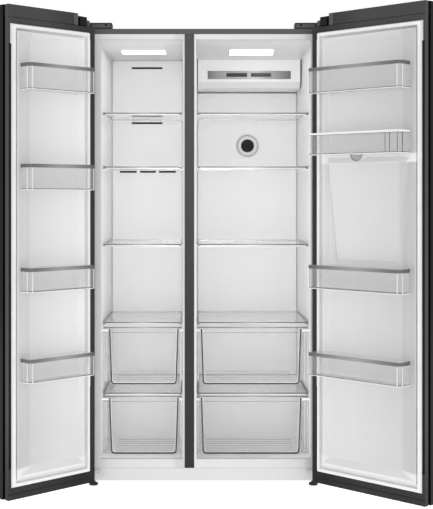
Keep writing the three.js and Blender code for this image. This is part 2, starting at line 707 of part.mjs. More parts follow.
function waterTank(door, [z0, z1]) {
  const wall = 3;
  const u0 = door.basket[0];
  const body = plate(basketPlan(door, u0, 0.5), [z0, z1 - 6]);
  const lid = plate(basketPlan(door, u0, 0), [z1 - 7, z1]);
  const hollow = plate(basketPlan(door, u0, wall), [z0 + wall, z1 - wall]);
  const filler = rodZ(FILLER.radius, [z1 - 20, z1 + 5], FILLER.u, FILLER.v, 24);
  const outlet = rodY(26, [door.basketFront - 34, door.basketFront - 1], alcoveMiddle(), z0 + 1, 24);
  return cut(join(body, lid, outlet), hollow, filler);
}

function alcoveMiddle() {
  return (ALCOVE.u[0] + ALCOVE.u[1]) / 2;
}

function dispenserWindow() {
  const [u, z] = [ALCOVE.u, ALCOVE.z].map(([low, high]) => [low - GAP, high + GAP]);
  return box(u, [-40, 50], z);
}

function dispenserBulge() {
  const shell = (grow) => {
    const swelling = box([0, 1], [DOOR.inner + GAP - 1 + grow / 2, 62 + grow], [0, 1]);
    return reshape(swelling, (point) => {
      const raised = point.y > 50 ? 22 : 0;
      const high = point.z > 0.5;
      const [u0, u1] = high ? [62, 438] : [104, 396];
      const u = point.x > 0.5 ? u1 - raised + grow : u0 + raised - grow;
      point.x = u;
      point.z = high ? 1240 - raised + grow : 850 + raised - grow;
    });
  };
  const outer = cut(shell(0), box([0, 500], [0, DOOR.inner + GAP], [800, 1300]));
  return { outer, inner: shell(-LINER) };
}

function dispenserHousing() {
  const wall = LINER;
  const { u, z, back } = ALCOVE;
  const middle = alcoveMiddle();
  const shell = box(u, [DOOR.front, back], z);
  const hollow = box([u[0] + wall, u[1] - wall], [DOOR.front - 1, back - wall], [z[0] + wall, z[1] - wall]);
  const nozzle = rodZ(NOZZLE.radius, [z[1] - NOZZLE.height - 1, z[1] - 1], middle, 0, 20);
  const tray = box([u[0] + 1, u[1] - 1], [DOOR.front + 4, back - 1], [z[0] + 1, z[0] + 1 + DRIP_TRAY.height]);
  const wells = [];
  for (let i = 0; i < DRIP_TRAY.wells; i += 1) {
    const x = middle + (i - (DRIP_TRAY.wells - 1) / 2) * DRIP_TRAY.pitch;
    wells.push(box([x - DRIP_TRAY.wellHalf, x + DRIP_TRAY.wellHalf],
      [DOOR.front + 10, back - DRIP_TRAY.margin], [z[0] + 6, z[0] + 20]));
  }
  return join(cut(shell, hollow), nozzle, cut(tray, ...wells));
}

function dispenserPaddle() {
  const middle = alcoveMiddle();
  const { y, z, half, thick, length, barrel, barrelHalf } = PADDLE;
  const blade = box([middle - half, middle + half], [y - thick / 2, y + thick / 2], [z - length, z]);
  return join(blade, rodX(barrel, [middle - barrelHalf, middle + barrelHalf], y, z, 16));
}

function buildDoor(parent, prefix, door, levels, extras) {
  const hinge = new THREE.Group();
  const [x, y] = hingePin(door.side);
  hinge.position.set(x, y, 0);
  hinge.rotation.z = door.side * THREE.MathUtils.degToRad(DOOR_ANGLE);
  parent.add(hinge);
  const hand = (geometry) => (door.side > 0 ? mirror(join(geometry), 0) : geometry);
  const put = (name, finish, geometry) => addTo(hinge, name, finish, hand(geometry));
  put(`${prefix}_door_panel`, 'blackGlass', doorPanel(door, extras?.window));
  put(`${prefix}_door_liner`, 'whitePlastic', doorLiner(door, extras?.bulge));
  put(`${prefix}_door_gasket`, 'rubber', gasket(door));
  levels.forEach((level, i) => {
    put(`${prefix}_door_basket_${i + 1}`, 'clearPlastic', basket(door, level));
  });
  return put;
}

// ---------------------------------------------------------------- assembly
function buildCabinet(group) {
  addTo(group, 'cabinet_casing', 'darkSteel', casing());
  addTo(group, 'cabinet_back_panel', 'zincSteel', backPanel());
  addTo(group, 'cabinet_base_pan', 'zincSteel', basePan());
  addTo(group, 'cabinet_insulation', 'foam', foam());
  addTo(group, 'freezer_liner', 'whitePlastic',
    liner(FREEZER, [-HALF_WIDTH + FLANGE, MULLION[0]], FREEZER_DRAWER_X));
  addTo(group, 'fridge_liner', 'whitePlastic',
    liner(FRIDGE, [MULLION[1], HALF_WIDTH - FLANGE], FRIDGE_DRAWER_X));
  addTo(group, 'mullion_trim', 'darkSteel', mullionTrim());
  addTo(group, 'kick_plate', 'whitePlastic', kickPlate());
}

function buildCompartments(group) {
  addTo(group, 'freezer_duct_cover', 'whitePlastic', freezerDuctCover());
  addTo(group, 'fridge_duct_cover', 'whitePlastic', fridgeDuctCover());
  addTo(group, 'fridge_air_outlet', 'whitePlastic', airOutlet());
  addTo(group, 'freezer_light_lens', 'lightLens', lightLens(FREEZER, -235, [160, 275]));
  addTo(group, 'fridge_light_lens', 'lightLens', lightLens(FRIDGE, 190, [152, 240]));
  addTo(group, 'air_purifier', 'blackPlastic', airPurifier());
  const spaces = [['freezer', FREEZER, FREEZER_DRAWER_X], ['fridge', FRIDGE, FRIDGE_DRAWER_X]];
  for (const [name, space, x] of spaces) {
    SHELF_LEVELS.forEach((level, i) => {
      addTo(group, `${name}_shelf_${i + 1}`, 'glass', shelf(space, level, TRIM_DROP.shelf));
    });
    for (const place of ['upper', 'lower']) {
      const cover = shelf(space, COVER_LEVELS[place], TRIM_DROP[place]);
      addTo(group, `${name}_drawer_cover_${place}`, 'glass', cover);
      addTo(group, `${name}_drawer_${place}`, 'clearPlastic', drawer(x, DRAWERS[place]));
    }
  }
}

function buildHardware(group) {
  for (const [name, side] of [['left', -1], ['right', 1]]) {
    addTo(group, `top_hinge_${name}`, 'zincSteel', topHinge(side));
    addTo(group, `hinge_cover_${name}`, 'blackPlastic', hingeCover(side));
    addTo(group, `bottom_hinge_${name}`, 'zincSteel', bottomHinge(side));
    addTo(group, `levelling_foot_${name}`, 'blackRubber',
      levellingFoot().translate(side * FOOT.x, FOOT.y, 0));
    addTo(group, `rear_roller_${name}`, 'blackRubber',
      rearRoller().translate(side * ROLLER.x, ROLLER.y, ROLLER.radius));
  }
}

function buildCoolingSystem(group) {
  addTo(group, 'compressor', 'blackEnamel', compressor());
  addTo(group, 'condenser', 'blackEnamel', condenser());
  addTo(group, 'condenser_fan', 'blackPlastic', axialFan(CONDENSER_FAN, 5, 26, Math.PI / 2));
  addTo(group, 'evaporator', 'aluminium', evaporator());
  addTo(group, 'evaporator_fan', 'blackPlastic', axialFan(EVAPORATOR_FAN, 7, 22, 0));
  addTo(group, 'machine_room_cover', 'zincSteel', machineRoomCover());
}

function buildDoors(group) {
  buildDoor(group, 'freezer', FREEZER_DOOR, BASKET_LEVELS);
  const fridgeLevels = [BASKET_LEVELS[0], BASKET_LEVELS[2], BASKET_LEVELS[3]];
  const extras = { window: dispenserWindow(), bulge: dispenserBulge() };
  const put = buildDoor(group, 'fridge', FRIDGE_DOOR, fridgeLevels, extras);
  put('water_tank', 'clearPlastic', waterTank(FRIDGE_DOOR, TANK_LEVEL));
  put('dispenser_housing', 'blackPlastic', dispenserHousing());
  put('dispenser_paddle', 'blackPlastic', dispenserPaddle());
}

// The origin is the middle of the standing object's footprint, with both doors open.
function centreOnFootprint(group) {
  const bounds = new THREE.Box3().setFromObject(group, true);
  const middle = bounds.getCenter(new THREE.Vector3());
  group.position.set(-Math.round(middle.x), -Math.round(middle.y), 0);
}

const refrigerator = new THREE.Group();
buildCabinet(refrigerator);
buildCompartments(refrigerator);
buildHardware(refrigerator);
buildCoolingSystem(refrigerator);
buildDoors(refrigerator);
centreOnFootprint(refrigerator);
refrigerator.updateMatrixWorld(true);

export default refrigerator;
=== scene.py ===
"""Looks of the side by side refrigerator: materials, detail pieces, light and camera.

Metres, in the row frame. A door's pieces are drawn in the door's own frame: u from the hinge pin to
the free edge, v from the pin towards the cabinet when the door is shut, z up.
"""
import json
import math

import bmesh
import bpy
from mathutils import Matrix, Vector


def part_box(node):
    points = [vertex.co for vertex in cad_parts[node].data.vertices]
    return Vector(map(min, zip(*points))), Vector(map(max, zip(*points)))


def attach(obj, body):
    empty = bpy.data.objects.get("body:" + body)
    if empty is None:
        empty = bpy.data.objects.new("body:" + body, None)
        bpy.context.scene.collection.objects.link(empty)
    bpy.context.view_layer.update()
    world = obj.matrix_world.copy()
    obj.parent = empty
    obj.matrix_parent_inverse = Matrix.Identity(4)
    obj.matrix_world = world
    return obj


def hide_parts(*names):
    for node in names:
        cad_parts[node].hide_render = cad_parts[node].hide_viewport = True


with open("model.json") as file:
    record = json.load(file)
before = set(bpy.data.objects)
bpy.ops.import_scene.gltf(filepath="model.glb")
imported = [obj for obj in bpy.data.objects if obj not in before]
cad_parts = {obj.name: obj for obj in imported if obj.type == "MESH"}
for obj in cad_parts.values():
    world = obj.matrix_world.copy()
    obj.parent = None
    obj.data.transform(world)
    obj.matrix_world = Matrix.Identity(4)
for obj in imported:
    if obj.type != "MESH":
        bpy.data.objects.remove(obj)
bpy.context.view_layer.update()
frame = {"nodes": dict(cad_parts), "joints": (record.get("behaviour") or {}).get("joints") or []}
NODES = frame["nodes"]
JOINTS = {joint["name"]: joint for joint in frame["joints"]}

# ---------------------------------------------------------------- driving sizes
WELD = 0.00002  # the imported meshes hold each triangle's corners apart
RAIL_HEIGHT = 0.0125  # the metal-look rail along a door basket's edge
RAIL_PROUD = 0.0010
SEAT = 0.0005  # how far a trim reaches into what carries it
KINK = (0.008, 0.014)  # the cut corner of a basket's plan
KINK_CUT = 0.0017  # keeps a trim round the corner inside the basket's own reach
WALL_START = 0.018  # from a basket's back to the start of its end wall
RIM_TOP = 0.057  # v of the pocket's rim, in the door's frame
DISH = (0.024, 0.084)  # from the liner's free edge to the ends of the pocket's sloping side
TUB = {"inset": 0.004, "taper": 0.007, "radius": 0.015, "wall": 0.003}  # of the drawers
BAND_START = 0.066  # u where the door's raised band begins
ALCOVE = (0.171, 0.327)  # u of the dispenser
SHADED = (1.214, 1.250)  # z of the liner's swelling that lies under the water tank, where a lighter grey is painted over the tank's shadow
FOOT_SLOPE = (0.088, 0.150)  # z of the sloping foot of each liner's pocket, where a lighter grey is painted over its shade
# painted light: the lighter grey laid over each of these zones of a door liner
LINER_PAINTED_LIGHT = {"freezer": ((FOOT_SLOPE, 0.74),), "fridge": ((FOOT_SLOPE, 0.72), (SHADED, 0.80))}
FRONT_SHEET = 0.032  # depth of a door's front sheet, from its outer face
FRAME_STEP = 0.040  # depth at which the door's grey frame begins
BAND_HEIGHT = 0.0438  # of the raised band along a door's top
TAP_HEIGHT = 0.025  # how far the tank's outlet hangs below its tub
GRILLE_CUTS = (0.040, 0.116, 0.200, 0.216, 0.298, 0.378)  # across the air outlet, from its left end
GRILLE_HEIGHTS = (0.035, 0.044, 0.060, 0.068)  # of its bar, from its foot
SLOT_HEIGHTS = (1.639, 1.436, 1.406)  # z of the freezer duct's long slots
LOUVRE_COLUMNS = (-0.3, -0.1, 0.1, 0.3)  # across the machine room cover, from its middle

DOOR_PAINTED_SHADE = {"freezer": 0.93, "fridge": 0.82}  # painted shade: the share to which each door liner's greys are dimmed
DOOR_FOOT_SHADE = {"freezer": 0.86, "fridge": 0.97}  # painted shade: the share of that left at its foot, darker towards the floor
LENS_GLOW = 1.2
FLOOR_GLOW = 0.8
WORLD = 1.0
BEAM = {"size": (0.95, 1.75), "ahead": 4.3, "height": 0.95, "spread": 10.0, "power": 0.46}
# the soft light inside each compartment: where across its mouth, and its power for each square metre
INNER_LIGHTS = {"freezer": (0.0, 1.0, 0.85), "fridge": (0.65, 1.0, 1.05)}

CAMERA_DISTANCE = 4.291  # ahead of the cabinet's front
CAMERA_ASIDE = -0.013
CAMERA_HEIGHT = 1.1061
CAMERA_LENS = 80.374
CAMERA_SHIFT = (0.03242, -0.11886)

# Greys of the object's surfaces, linear; some below are dimmed copies that hold painted shade
LINER_WHITE = (0.91, 0.91, 0.91)
# painted shade: the liner's white dimmed on the compartments' ceilings and front lips
CEILING_WHITE = (0.70, 0.70, 0.70)
LIP_WHITE = (0.63, 0.63, 0.63)
LIP_SHADE = (0.54, 0.54, 0.54)  # painted shade: the lip on the right of each compartment, dimmed further
# painted shade: the white plastic dimmed for the light that falls on the doors; also on the kick plate, liner
# beads, hinge plates and bolts
DOOR_WHITE = (0.62, 0.62, 0.62)
FRAME_GREY = (0.058, 0.058, 0.060)
FRONT_BLACK = (0.004, 0.004, 0.0045)
FLANGE_GREY = (0.082, 0.082, 0.085)
# painted shade: the mullion's grey at its top and the darker grey at its foot
MULLION_TOP = (0.055, 0.055, 0.057)
MULLION_FOOT = (0.020, 0.020, 0.021)
# painted reflections: (place, grey) stops of the sheen painted along the basket rails, the shelf trims, the
# air outlet's bar and its louvres
RAIL_GRADE = ((0.0, 0.14), (0.14, 0.17), (0.45, 0.33), (0.62, 0.30), (0.9, 0.18), (1.0, 0.12))
TRIM_GRADE = ((0.0, 0.07), (0.3, 0.12), (0.5, 0.24), (0.7, 0.11), (1.0, 0.06))
OUTLET_GRADE = ((0.0, 0.13), (0.12, 0.24), (0.45, 0.36), (0.55, 0.50), (0.7, 0.34), (0.9, 0.20), (1.0, 0.13))
LOUVRE_GRADE = ((0.0, 0.10), (0.45, 0.16), (0.6, 0.22), (1.0, 0.17))


# ---------------------------------------------------------------- materials
class Look:
    """A Principled material whose colour, roughness and relief come from procedural nodes."""

    def __init__(self, name, metallic=0.0, coat=0.0, gloss=0.5):
        self.material = bpy.data.materials.new(name)
        self.material.use_nodes = True
        self.tree = self.material.node_tree
        self.shader = self.tree.nodes["Principled BSDF"]
        self.shader.inputs["Metallic"].default_value = metallic
        self.shader.inputs["Specular IOR Level"].default_value = gloss
        self.shader.inputs["Coat Weight"].default_value = coat
        self.shader.inputs["Coat Roughness"].default_value = 0.06
        self.place = self.node("ShaderNodeTexCoord").outputs["Object"]

    def node(self, kind, **values):
        made = self.tree.nodes.new(kind)
        for key, value in values.items():
            setattr(made, key, value)
        return made

    def feed(self, made, **inputs):
        for key, value in inputs.items():
            socket = made.inputs[key.replace("_", " ")]
            if isinstance(value, bpy.types.NodeSocket):
                self.tree.links.new(value, socket)
            else:
                socket.default_value = value
        return made

    def mapped(self, scale=(1, 1, 1), location=(0, 0, 0), turn=0.0, kind="POINT"):
        made = self.feed(self.node("ShaderNodeMapping", vector_type=kind), Vector=self.place,
                         Location=location, Rotation=(0, 0, turn), Scale=scale)
        return made.outputs["Vector"]

    def noise(self, scale, detail=3.0, stretch=None):
        vector = self.mapped(stretch) if stretch else self.place
        made = self.feed(self.node("ShaderNodeTexNoise"), Vector=vector, Scale=scale, Detail=detail)
        return made.outputs["Fac"]

    def cells(self, scale):
        made = self.feed(self.node("ShaderNodeTexVoronoi"), Vector=self.place, Scale=scale)
        return made.outputs["Distance"]

    def waves(self, scale):
        made = self.feed(self.node("ShaderNodeTexWave"), Vector=self.place, Scale=scale)
        return made.outputs["Fac"]

    def spread(self, value, low, high, start=0.0, end=1.0):
        made = self.feed(self.node("ShaderNodeMapRange"), Value=value, To_Min=low, To_Max=high,
                         From_Min=start, From_Max=end)
        return made.outputs["Result"]

    def between(self, factor, dark, light):
        made = self.node("ShaderNodeMix", data_type="RGBA")
        for socket, value in ((made.inputs[0], factor), (made.inputs[6], dark), (made.inputs[7], light)):
            if isinstance(value, bpy.types.NodeSocket):
                self.tree.links.new(value, socket)
            else:
                socket.default_value = (*value, 1.0) if isinstance(value, tuple) else value
        return made.outputs[2]

    def combined(self, operation, first, second):
        made = self.node("ShaderNodeMath", operation=operation)
        for socket, value in zip(made.inputs, (first, second)):
            self.tree.links.new(value, socket)
        return made.outputs[0]

    def dimmed(self, colour, share):
        """The colour with only a share of its brightness."""
        made = self.feed(self.node("ShaderNodeHueSaturation"), Value=share, Color=colour)
        return made.outputs["Color"]

    def facing(self, face_on, edge_on):
        """From one value to the other as the surface turns edge on."""
        made = self.feed(self.node("ShaderNodeLayerWeight"), Blend=0.35)
        return self.spread(made.outputs["Facing"], face_on, edge_on)

    def ramp(self, value, stops):
        """Greys by place along a line, from (place, grey) stops."""
        made = self.feed(self.node("ShaderNodeValToRGB"), Fac=value)
        points = made.color_ramp.elements
        while len(points) < len(stops):
            points.new(0.5)
        for point, (place, grey) in zip(points, stops):
            point.position = place
            point.color = (grey, grey, grey, 1.0)
        return made.outputs["Color"]

    def along(self, axis, door=None):
        """How far a point is along X, Y or Z, or along a door's own u, v or z."""
        place = self.place
        if door:
            place = self.mapped(scale=(-door.hand, 1, 1), location=door.pin, turn=door.angle,
                                kind="TEXTURE")
        return self.feed(self.node("ShaderNodeSeparateXYZ"), Vector=place).outputs[axis]

    def wire(self, value, socket):
        self.tree.links.new(value, self.shader.inputs[socket])
        return self

    def colour(self, value):
        return self.wire(value, "Base Color")

    def shades(self, colour, swing, scale, detail=3.0):
        """The colour, a little darker and lighter from place to place."""
        dark = tuple(c * (1 - swing) for c in colour)
        light = tuple(min(c * (1 + swing), 1.0) for c in colour)
        return self.between(self.noise(scale, detail), dark, light)

    def rough(self, low, high, scale=40.0):
        return self.wire(self.spread(self.noise(scale, 2.0), low, high), "Roughness")

    def relief(self, height, depth, strength=1.0):
        made = self.feed(self.node("ShaderNodeBump"), Height=height, Strength=strength, Distance=depth)
        return self.wire(made.outputs["Normal"], "Normal")

    def glow(self, value, strength):
        self.shader.inputs["Emission Strength"].default_value = strength
        return self.wire(value, "Emission Color")


def moulded(name, colour, low=0.28, high=0.4, grain=900.0, depth=0.00004, swing=0.02, coat=0.0,
            gloss=0.35):
    """Injection-moulded or vacuum-formed plastic with a fine surface grain."""
    look = Look(name, coat=coat, gloss=gloss)
    look.colour(look.shades(colour, swing, 6.0)).rough(low, high)
    return look.relief(look.noise(grain), depth, 0.4).material


def painted(name, colour):
    """Powder-coated steel: orange peel over a faint cloudy colour."""
    look = Look(name, metallic=0.2, gloss=0.2)
    look.colour(look.shades(colour, 0.06, 9.0)).rough(0.3, 0.42)
    return look.relief(look.noise(420.0), 0.00012, 0.35).material


def mullion_paint(low, high):
    """Painted steel, brushed along its length, with painted shade that darkens it towards the floor."""
    look = Look("mullion_paint", metallic=0.2, gloss=0.2)
    height = look.spread(look.along("Z"), 0.0, 1.0, low + (high - low) * 0.3, high)
    grain = look.noise(240.0, 3.0, (1, 1, 0.02))
    look.colour(look.between(height, look.between(grain, MULLION_FOOT, tuple(c * 1.15 for c in MULLION_FOOT)),
                             look.between(grain, MULLION_TOP, tuple(c * 1.15 for c in MULLION_TOP))))
    return look.rough(0.3, 0.42).relief(grain, 0.00005, 0.3).material


def graded(name, span, stops, door=None):
    """Brushed metal or its plastic likeness, with a painted reflection: the greys of a sheen painted along
    its length.
    """
    look = Look(name, metallic=0.4, gloss=0.3)
    place = look.spread(look.along("X", door), 0.0, 1.0, *span)
    sheen = look.ramp(place, stops)
    grain = look.noise(500.0, 3.0, (0.03, 0.03, 1))
    look.colour(look.between(grain, look.dimmed(sheen, 0.86), sheen)).rough(0.28, 0.4, 60.0)
    return look.relief(grain, 0.00004, 0.3).material


def galvanised():
    look = Look("galvanised_steel", metallic=0.85)
    spangle = look.cells(70.0)
    look.colour(look.between(spangle, (0.33, 0.34, 0.355), (0.47, 0.48, 0.495))).rough(0.34, 0.52, 90.0)
    return look.relief(spangle, 0.0001, 0.25).material


def bright_steel(name, colour):
    look = Look(name, metallic=0.85)
    look.colour(look.shades(colour, 0.1, 30.0, 4.0)).rough(0.25, 0.42, 30.0)
    return look.relief(look.noise(60.0), 0.00005, 0.3).material


def foam():
    look = Look("insulation_foam")
    pores = look.cells(320.0)
    look.colour(look.between(pores, (0.62, 0.53, 0.33), (0.82, 0.74, 0.52)))
    return look.rough(0.8, 0.95).relief(pores, 0.0008, 0.6).material


def glass(front, back):
    """Clear between the frosted plastic of the front trim and of the rail at the back."""
    look = Look("shelf_glass", coat=0.2)
    depth = look.along("Y")
    trim = look.spread(depth, 1.0, 0.0, front - 0.0002, front + 0.0002)
    rail = look.spread(depth, 0.0, 1.0, back - 0.0002, back + 0.0002)
    framed = look.combined("MAXIMUM", trim, rail)
    pane = look.shades((0.66, 0.665, 0.665), 0.03, 4.0)
    look.colour(look.between(framed, pane, look.shades((0.60, 0.60, 0.60), 0.02, 8.0)))
    look.rough(0.05, 0.12).relief(look.noise(900.0), 0.00002, 0.1)
    frost = look.spread(framed, 0.0, 0.42)
    return look.wire(look.combined("MAXIMUM", look.facing(0.04, 0.26), frost), "Alpha").material


def clear_plastic(name, colour, face_on, edge_on):
    look = Look(name, coat=0.1, gloss=0.4)
    look.colour(look.shades(colour, 0.05, 12.0)).rough(0.06, 0.16, 25.0)
    look.relief(look.noise(45.0), 0.0002, 0.08)
    return look.wire(look.facing(face_on, edge_on), "Alpha").material


def liner_plastic(node):
    """White inside the compartments, with painted shade: greyer on the front lips, which face the room's
    light, greyer still on the lip at each compartment's right, and greyer on the ceiling.
    """
    look = Look("white_plastic", gloss=0.35)
    front, right = CASING[1][0], box_of(node)[0][1]
    inside = look.spread(look.along("Y"), 0.0, 1.0, front + 0.006, front + 0.040)
    side = look.spread(look.along("X"), 0.0, 1.0, right - 0.05, right - 0.03)
    lip = look.between(side, look.shades(LIP_WHITE, 0.02, 6.0), look.shades(LIP_SHADE, 0.02, 6.0))
    ceiling = look.spread(look.along("Z"), 0.0, 1.0, SHELF[2][1] + 0.222, SHELF[2][1] + 0.240)
    wall = look.between(ceiling, look.shades(LINER_WHITE, 0.02, 6.0), look.shades(CEILING_WHITE, 0.02, 6.0))
    look.colour(look.between(inside, lip, wall))
    return look.rough(0.28, 0.4).relief(look.noise(900.0), 0.00004, 0.4).material


def painted_door_liner(door):
    """The door liner's white, with painted light and shade: lighter towards the hinge, a painted shade band
    down the pocket's sloping free side, painted shade towards the foot, and painted light over the foot slope
    and, on the fridge door, under the water tank.
    """
    u0, u1 = door.extent(f"{door.prefix}_door_liner")[0]
    look = Look(f"{door.prefix}_liner_plastic", gloss=0.35)
    place = look.spread(look.along("X", door), 0.0, 1.0, u0, u1)
    share = DOOR_PAINTED_SHADE[door.prefix]
    # painted shade: a darker band down the pocket's sloping free side
    steps = (u1 - DISH[1], u1 - DISH[1] + 0.006, u1 - DISH[0], u1 - DISH[0] + 0.008)
    slope = zip([(u - u0) / (u1 - u0) for u in steps],
                (0.68 * share, 0.61 * share, 0.58 * share, 0.68 * share))
    sheen = look.ramp(place, ((0.0, 0.80 * share), (0.35, 0.78 * share), *slope, (1.0, 0.74 * share)))
    # painted shade: darker towards the foot
    foot = look.spread(look.along("Z"), DOOR_FOOT_SHADE[door.prefix], 1.0, 0.25, 0.55)
    cloudy = look.between(look.spread(look.noise(6.0), 0.0, 0.12), sheen, (0.85 * share,) * 3)
    tone = look.dimmed(cloudy, foot)
    # painted light: lighter greys laid over the foot slope and under the tank
    for zone, grey in LINER_PAINTED_LIGHT[door.prefix]:
        within = look.ramp(look.spread(look.along("Z"), 0.0, 1.0, *zone),
                           ((0.0, 0.0), (0.15, 0.9), (0.85, 0.9), (1.0, 0.0)))
        tone = look.between(within, tone, (grey, grey, grey))
    look.colour(tone)
    return look.rough(0.28, 0.4).relief(look.noise(900.0), 0.00004, 0.4).material


def hinge_paint():
    """White where the plate lies on the kick plate, black on the arm that carries the pin."""
    look = Look("bottom_hinge_paint", gloss=0.3)
    plate = look.spread(look.along("Y"), 0.0, 1.0, CASING[1][0] - 0.0065, CASING[1][0] - 0.0055)
    look.colour(look.between(plate, look.shades((0.010, 0.010, 0.011), 0.1, 30.0),
                             look.shades(DOOR_WHITE, 0.02, 6.0)))
    return look.rough(0.35, 0.5).relief(look.noise(420.0), 0.0001, 0.35).material


def rubber(name, colour):
    look = Look(name)
    look.colour(look.shades(colour, 0.08, 30.0)).rough(0.55, 0.75)
    return look.relief(look.noise(500.0), 0.0001, 0.5).material


def lamp():
    look = Look("light_lens")
    prisms = look.cells(190.0)
    look.colour(look.between(prisms, (0.9, 0.9, 0.9), (1.0, 1.0, 1.0))).rough(0.25, 0.35)
    look.glow(look.between(prisms, (0.86, 0.86, 0.86), (1.0, 1.0, 1.0)), LENS_GLOW)
    return look.relief(prisms, 0.0004, 0.4).material


def fins(name, colour):
    look = Look(name, metallic=0.7)
    look.colour(look.shades(colour, 0.15, 60.0)).rough(0.3, 0.5)
    return look.relief(look.waves(260.0), 0.0006, 0.6).material


def door_skin(door):
    """Dark glass on the front sheet, black in the gap behind it, grey plastic on the door's frame, with
    painted shade that darkens the frame towards the hinge and towards the foot.
    """
    look = Look(f"{door.prefix}_door_skin", gloss=0.08)
    depth = look.along("Y", door)
    flakes = look.noise(1600.0, 2.0)
    sheet = look.between(flakes, FRONT_BLACK, tuple(c * 1.8 for c in FRONT_BLACK))
    plastic = look.shades(FRAME_GREY, 0.05, 11.0)
    gap = look.spread(depth, 0.0, 1.0, door.slab_back - 0.0004, door.slab_back + 0.0004)
    behind = look.spread(depth, 0.0, 1.0, door.frame_front - 0.0006, door.frame_front - 0.0002)
    dark_gap = look.between(gap, sheet, (0.004, 0.004, 0.004))
    # painted shade: the frame darker towards the hinge and towards the door's foot
    reach = look.spread(look.along("X", door), 0.62, 1.0, 0.05, 0.20)
    low = look.spread(look.along("Z"), 0.55, 1.0, door.panel[2][0] + 0.02, door.panel[2][0] + 0.30)
    frame_tone = look.dimmed(plastic, look.combined("MULTIPLY", reach, low))
    look.colour(look.between(behind, dark_gap, frame_tone))
    look.wire(look.spread(behind, 0.16, 0.42), "Roughness")
    return look.relief(look.noise(700.0), 0.00006, 0.3).material


# ---------------------------------------------------------------- places taken from the frame
def spans(lo, hi):
    return [(lo[i], hi[i]) for i in range(3)]


def box_of(node):
    """The node's extent along X, Y and Z at rest."""
    return spans(*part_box(node))


class Door:
    def __init__(self, prefix, hand):
        hinge = JOINTS[f"{prefix}_door_hinge"]
        self.prefix = prefix
        self.hand = hand
        self.body = hinge["child"]
        self.pin = tuple(hinge["pos_m"])
        self.angle = hand * math.radians(-hinge["range_deg"][0])
        self.matrix = (Matrix.Translation(self.pin) @ Matrix.Rotation(self.angle, 4, "Z")
                       @ Matrix.Diagonal((-hand, 1, 1, 1)))
        self.panel = self.extent(f"{prefix}_door_panel")
        self.baskets = sorted(name for name in NODES if name.startswith(f"{prefix}_door_basket_"))
        self.slab_back = self.panel[1][0] + FRONT_SHEET
        self.frame_front = self.panel[1][0] + FRAME_STEP

    def extent(self, node):
        """A node's extent in the door's own frame."""
        back = self.matrix.inverted()
        points = [back @ vertex.co for vertex in NODES[node].data.vertices]
        return [(min(p[i] for p in points), max(p[i] for p in points)) for i in range(3)]

    def piece(self, name):
        return Piece(name, self.body, self.matrix)


DOORS = [Door("freezer", -1), Door("fridge", 1)]


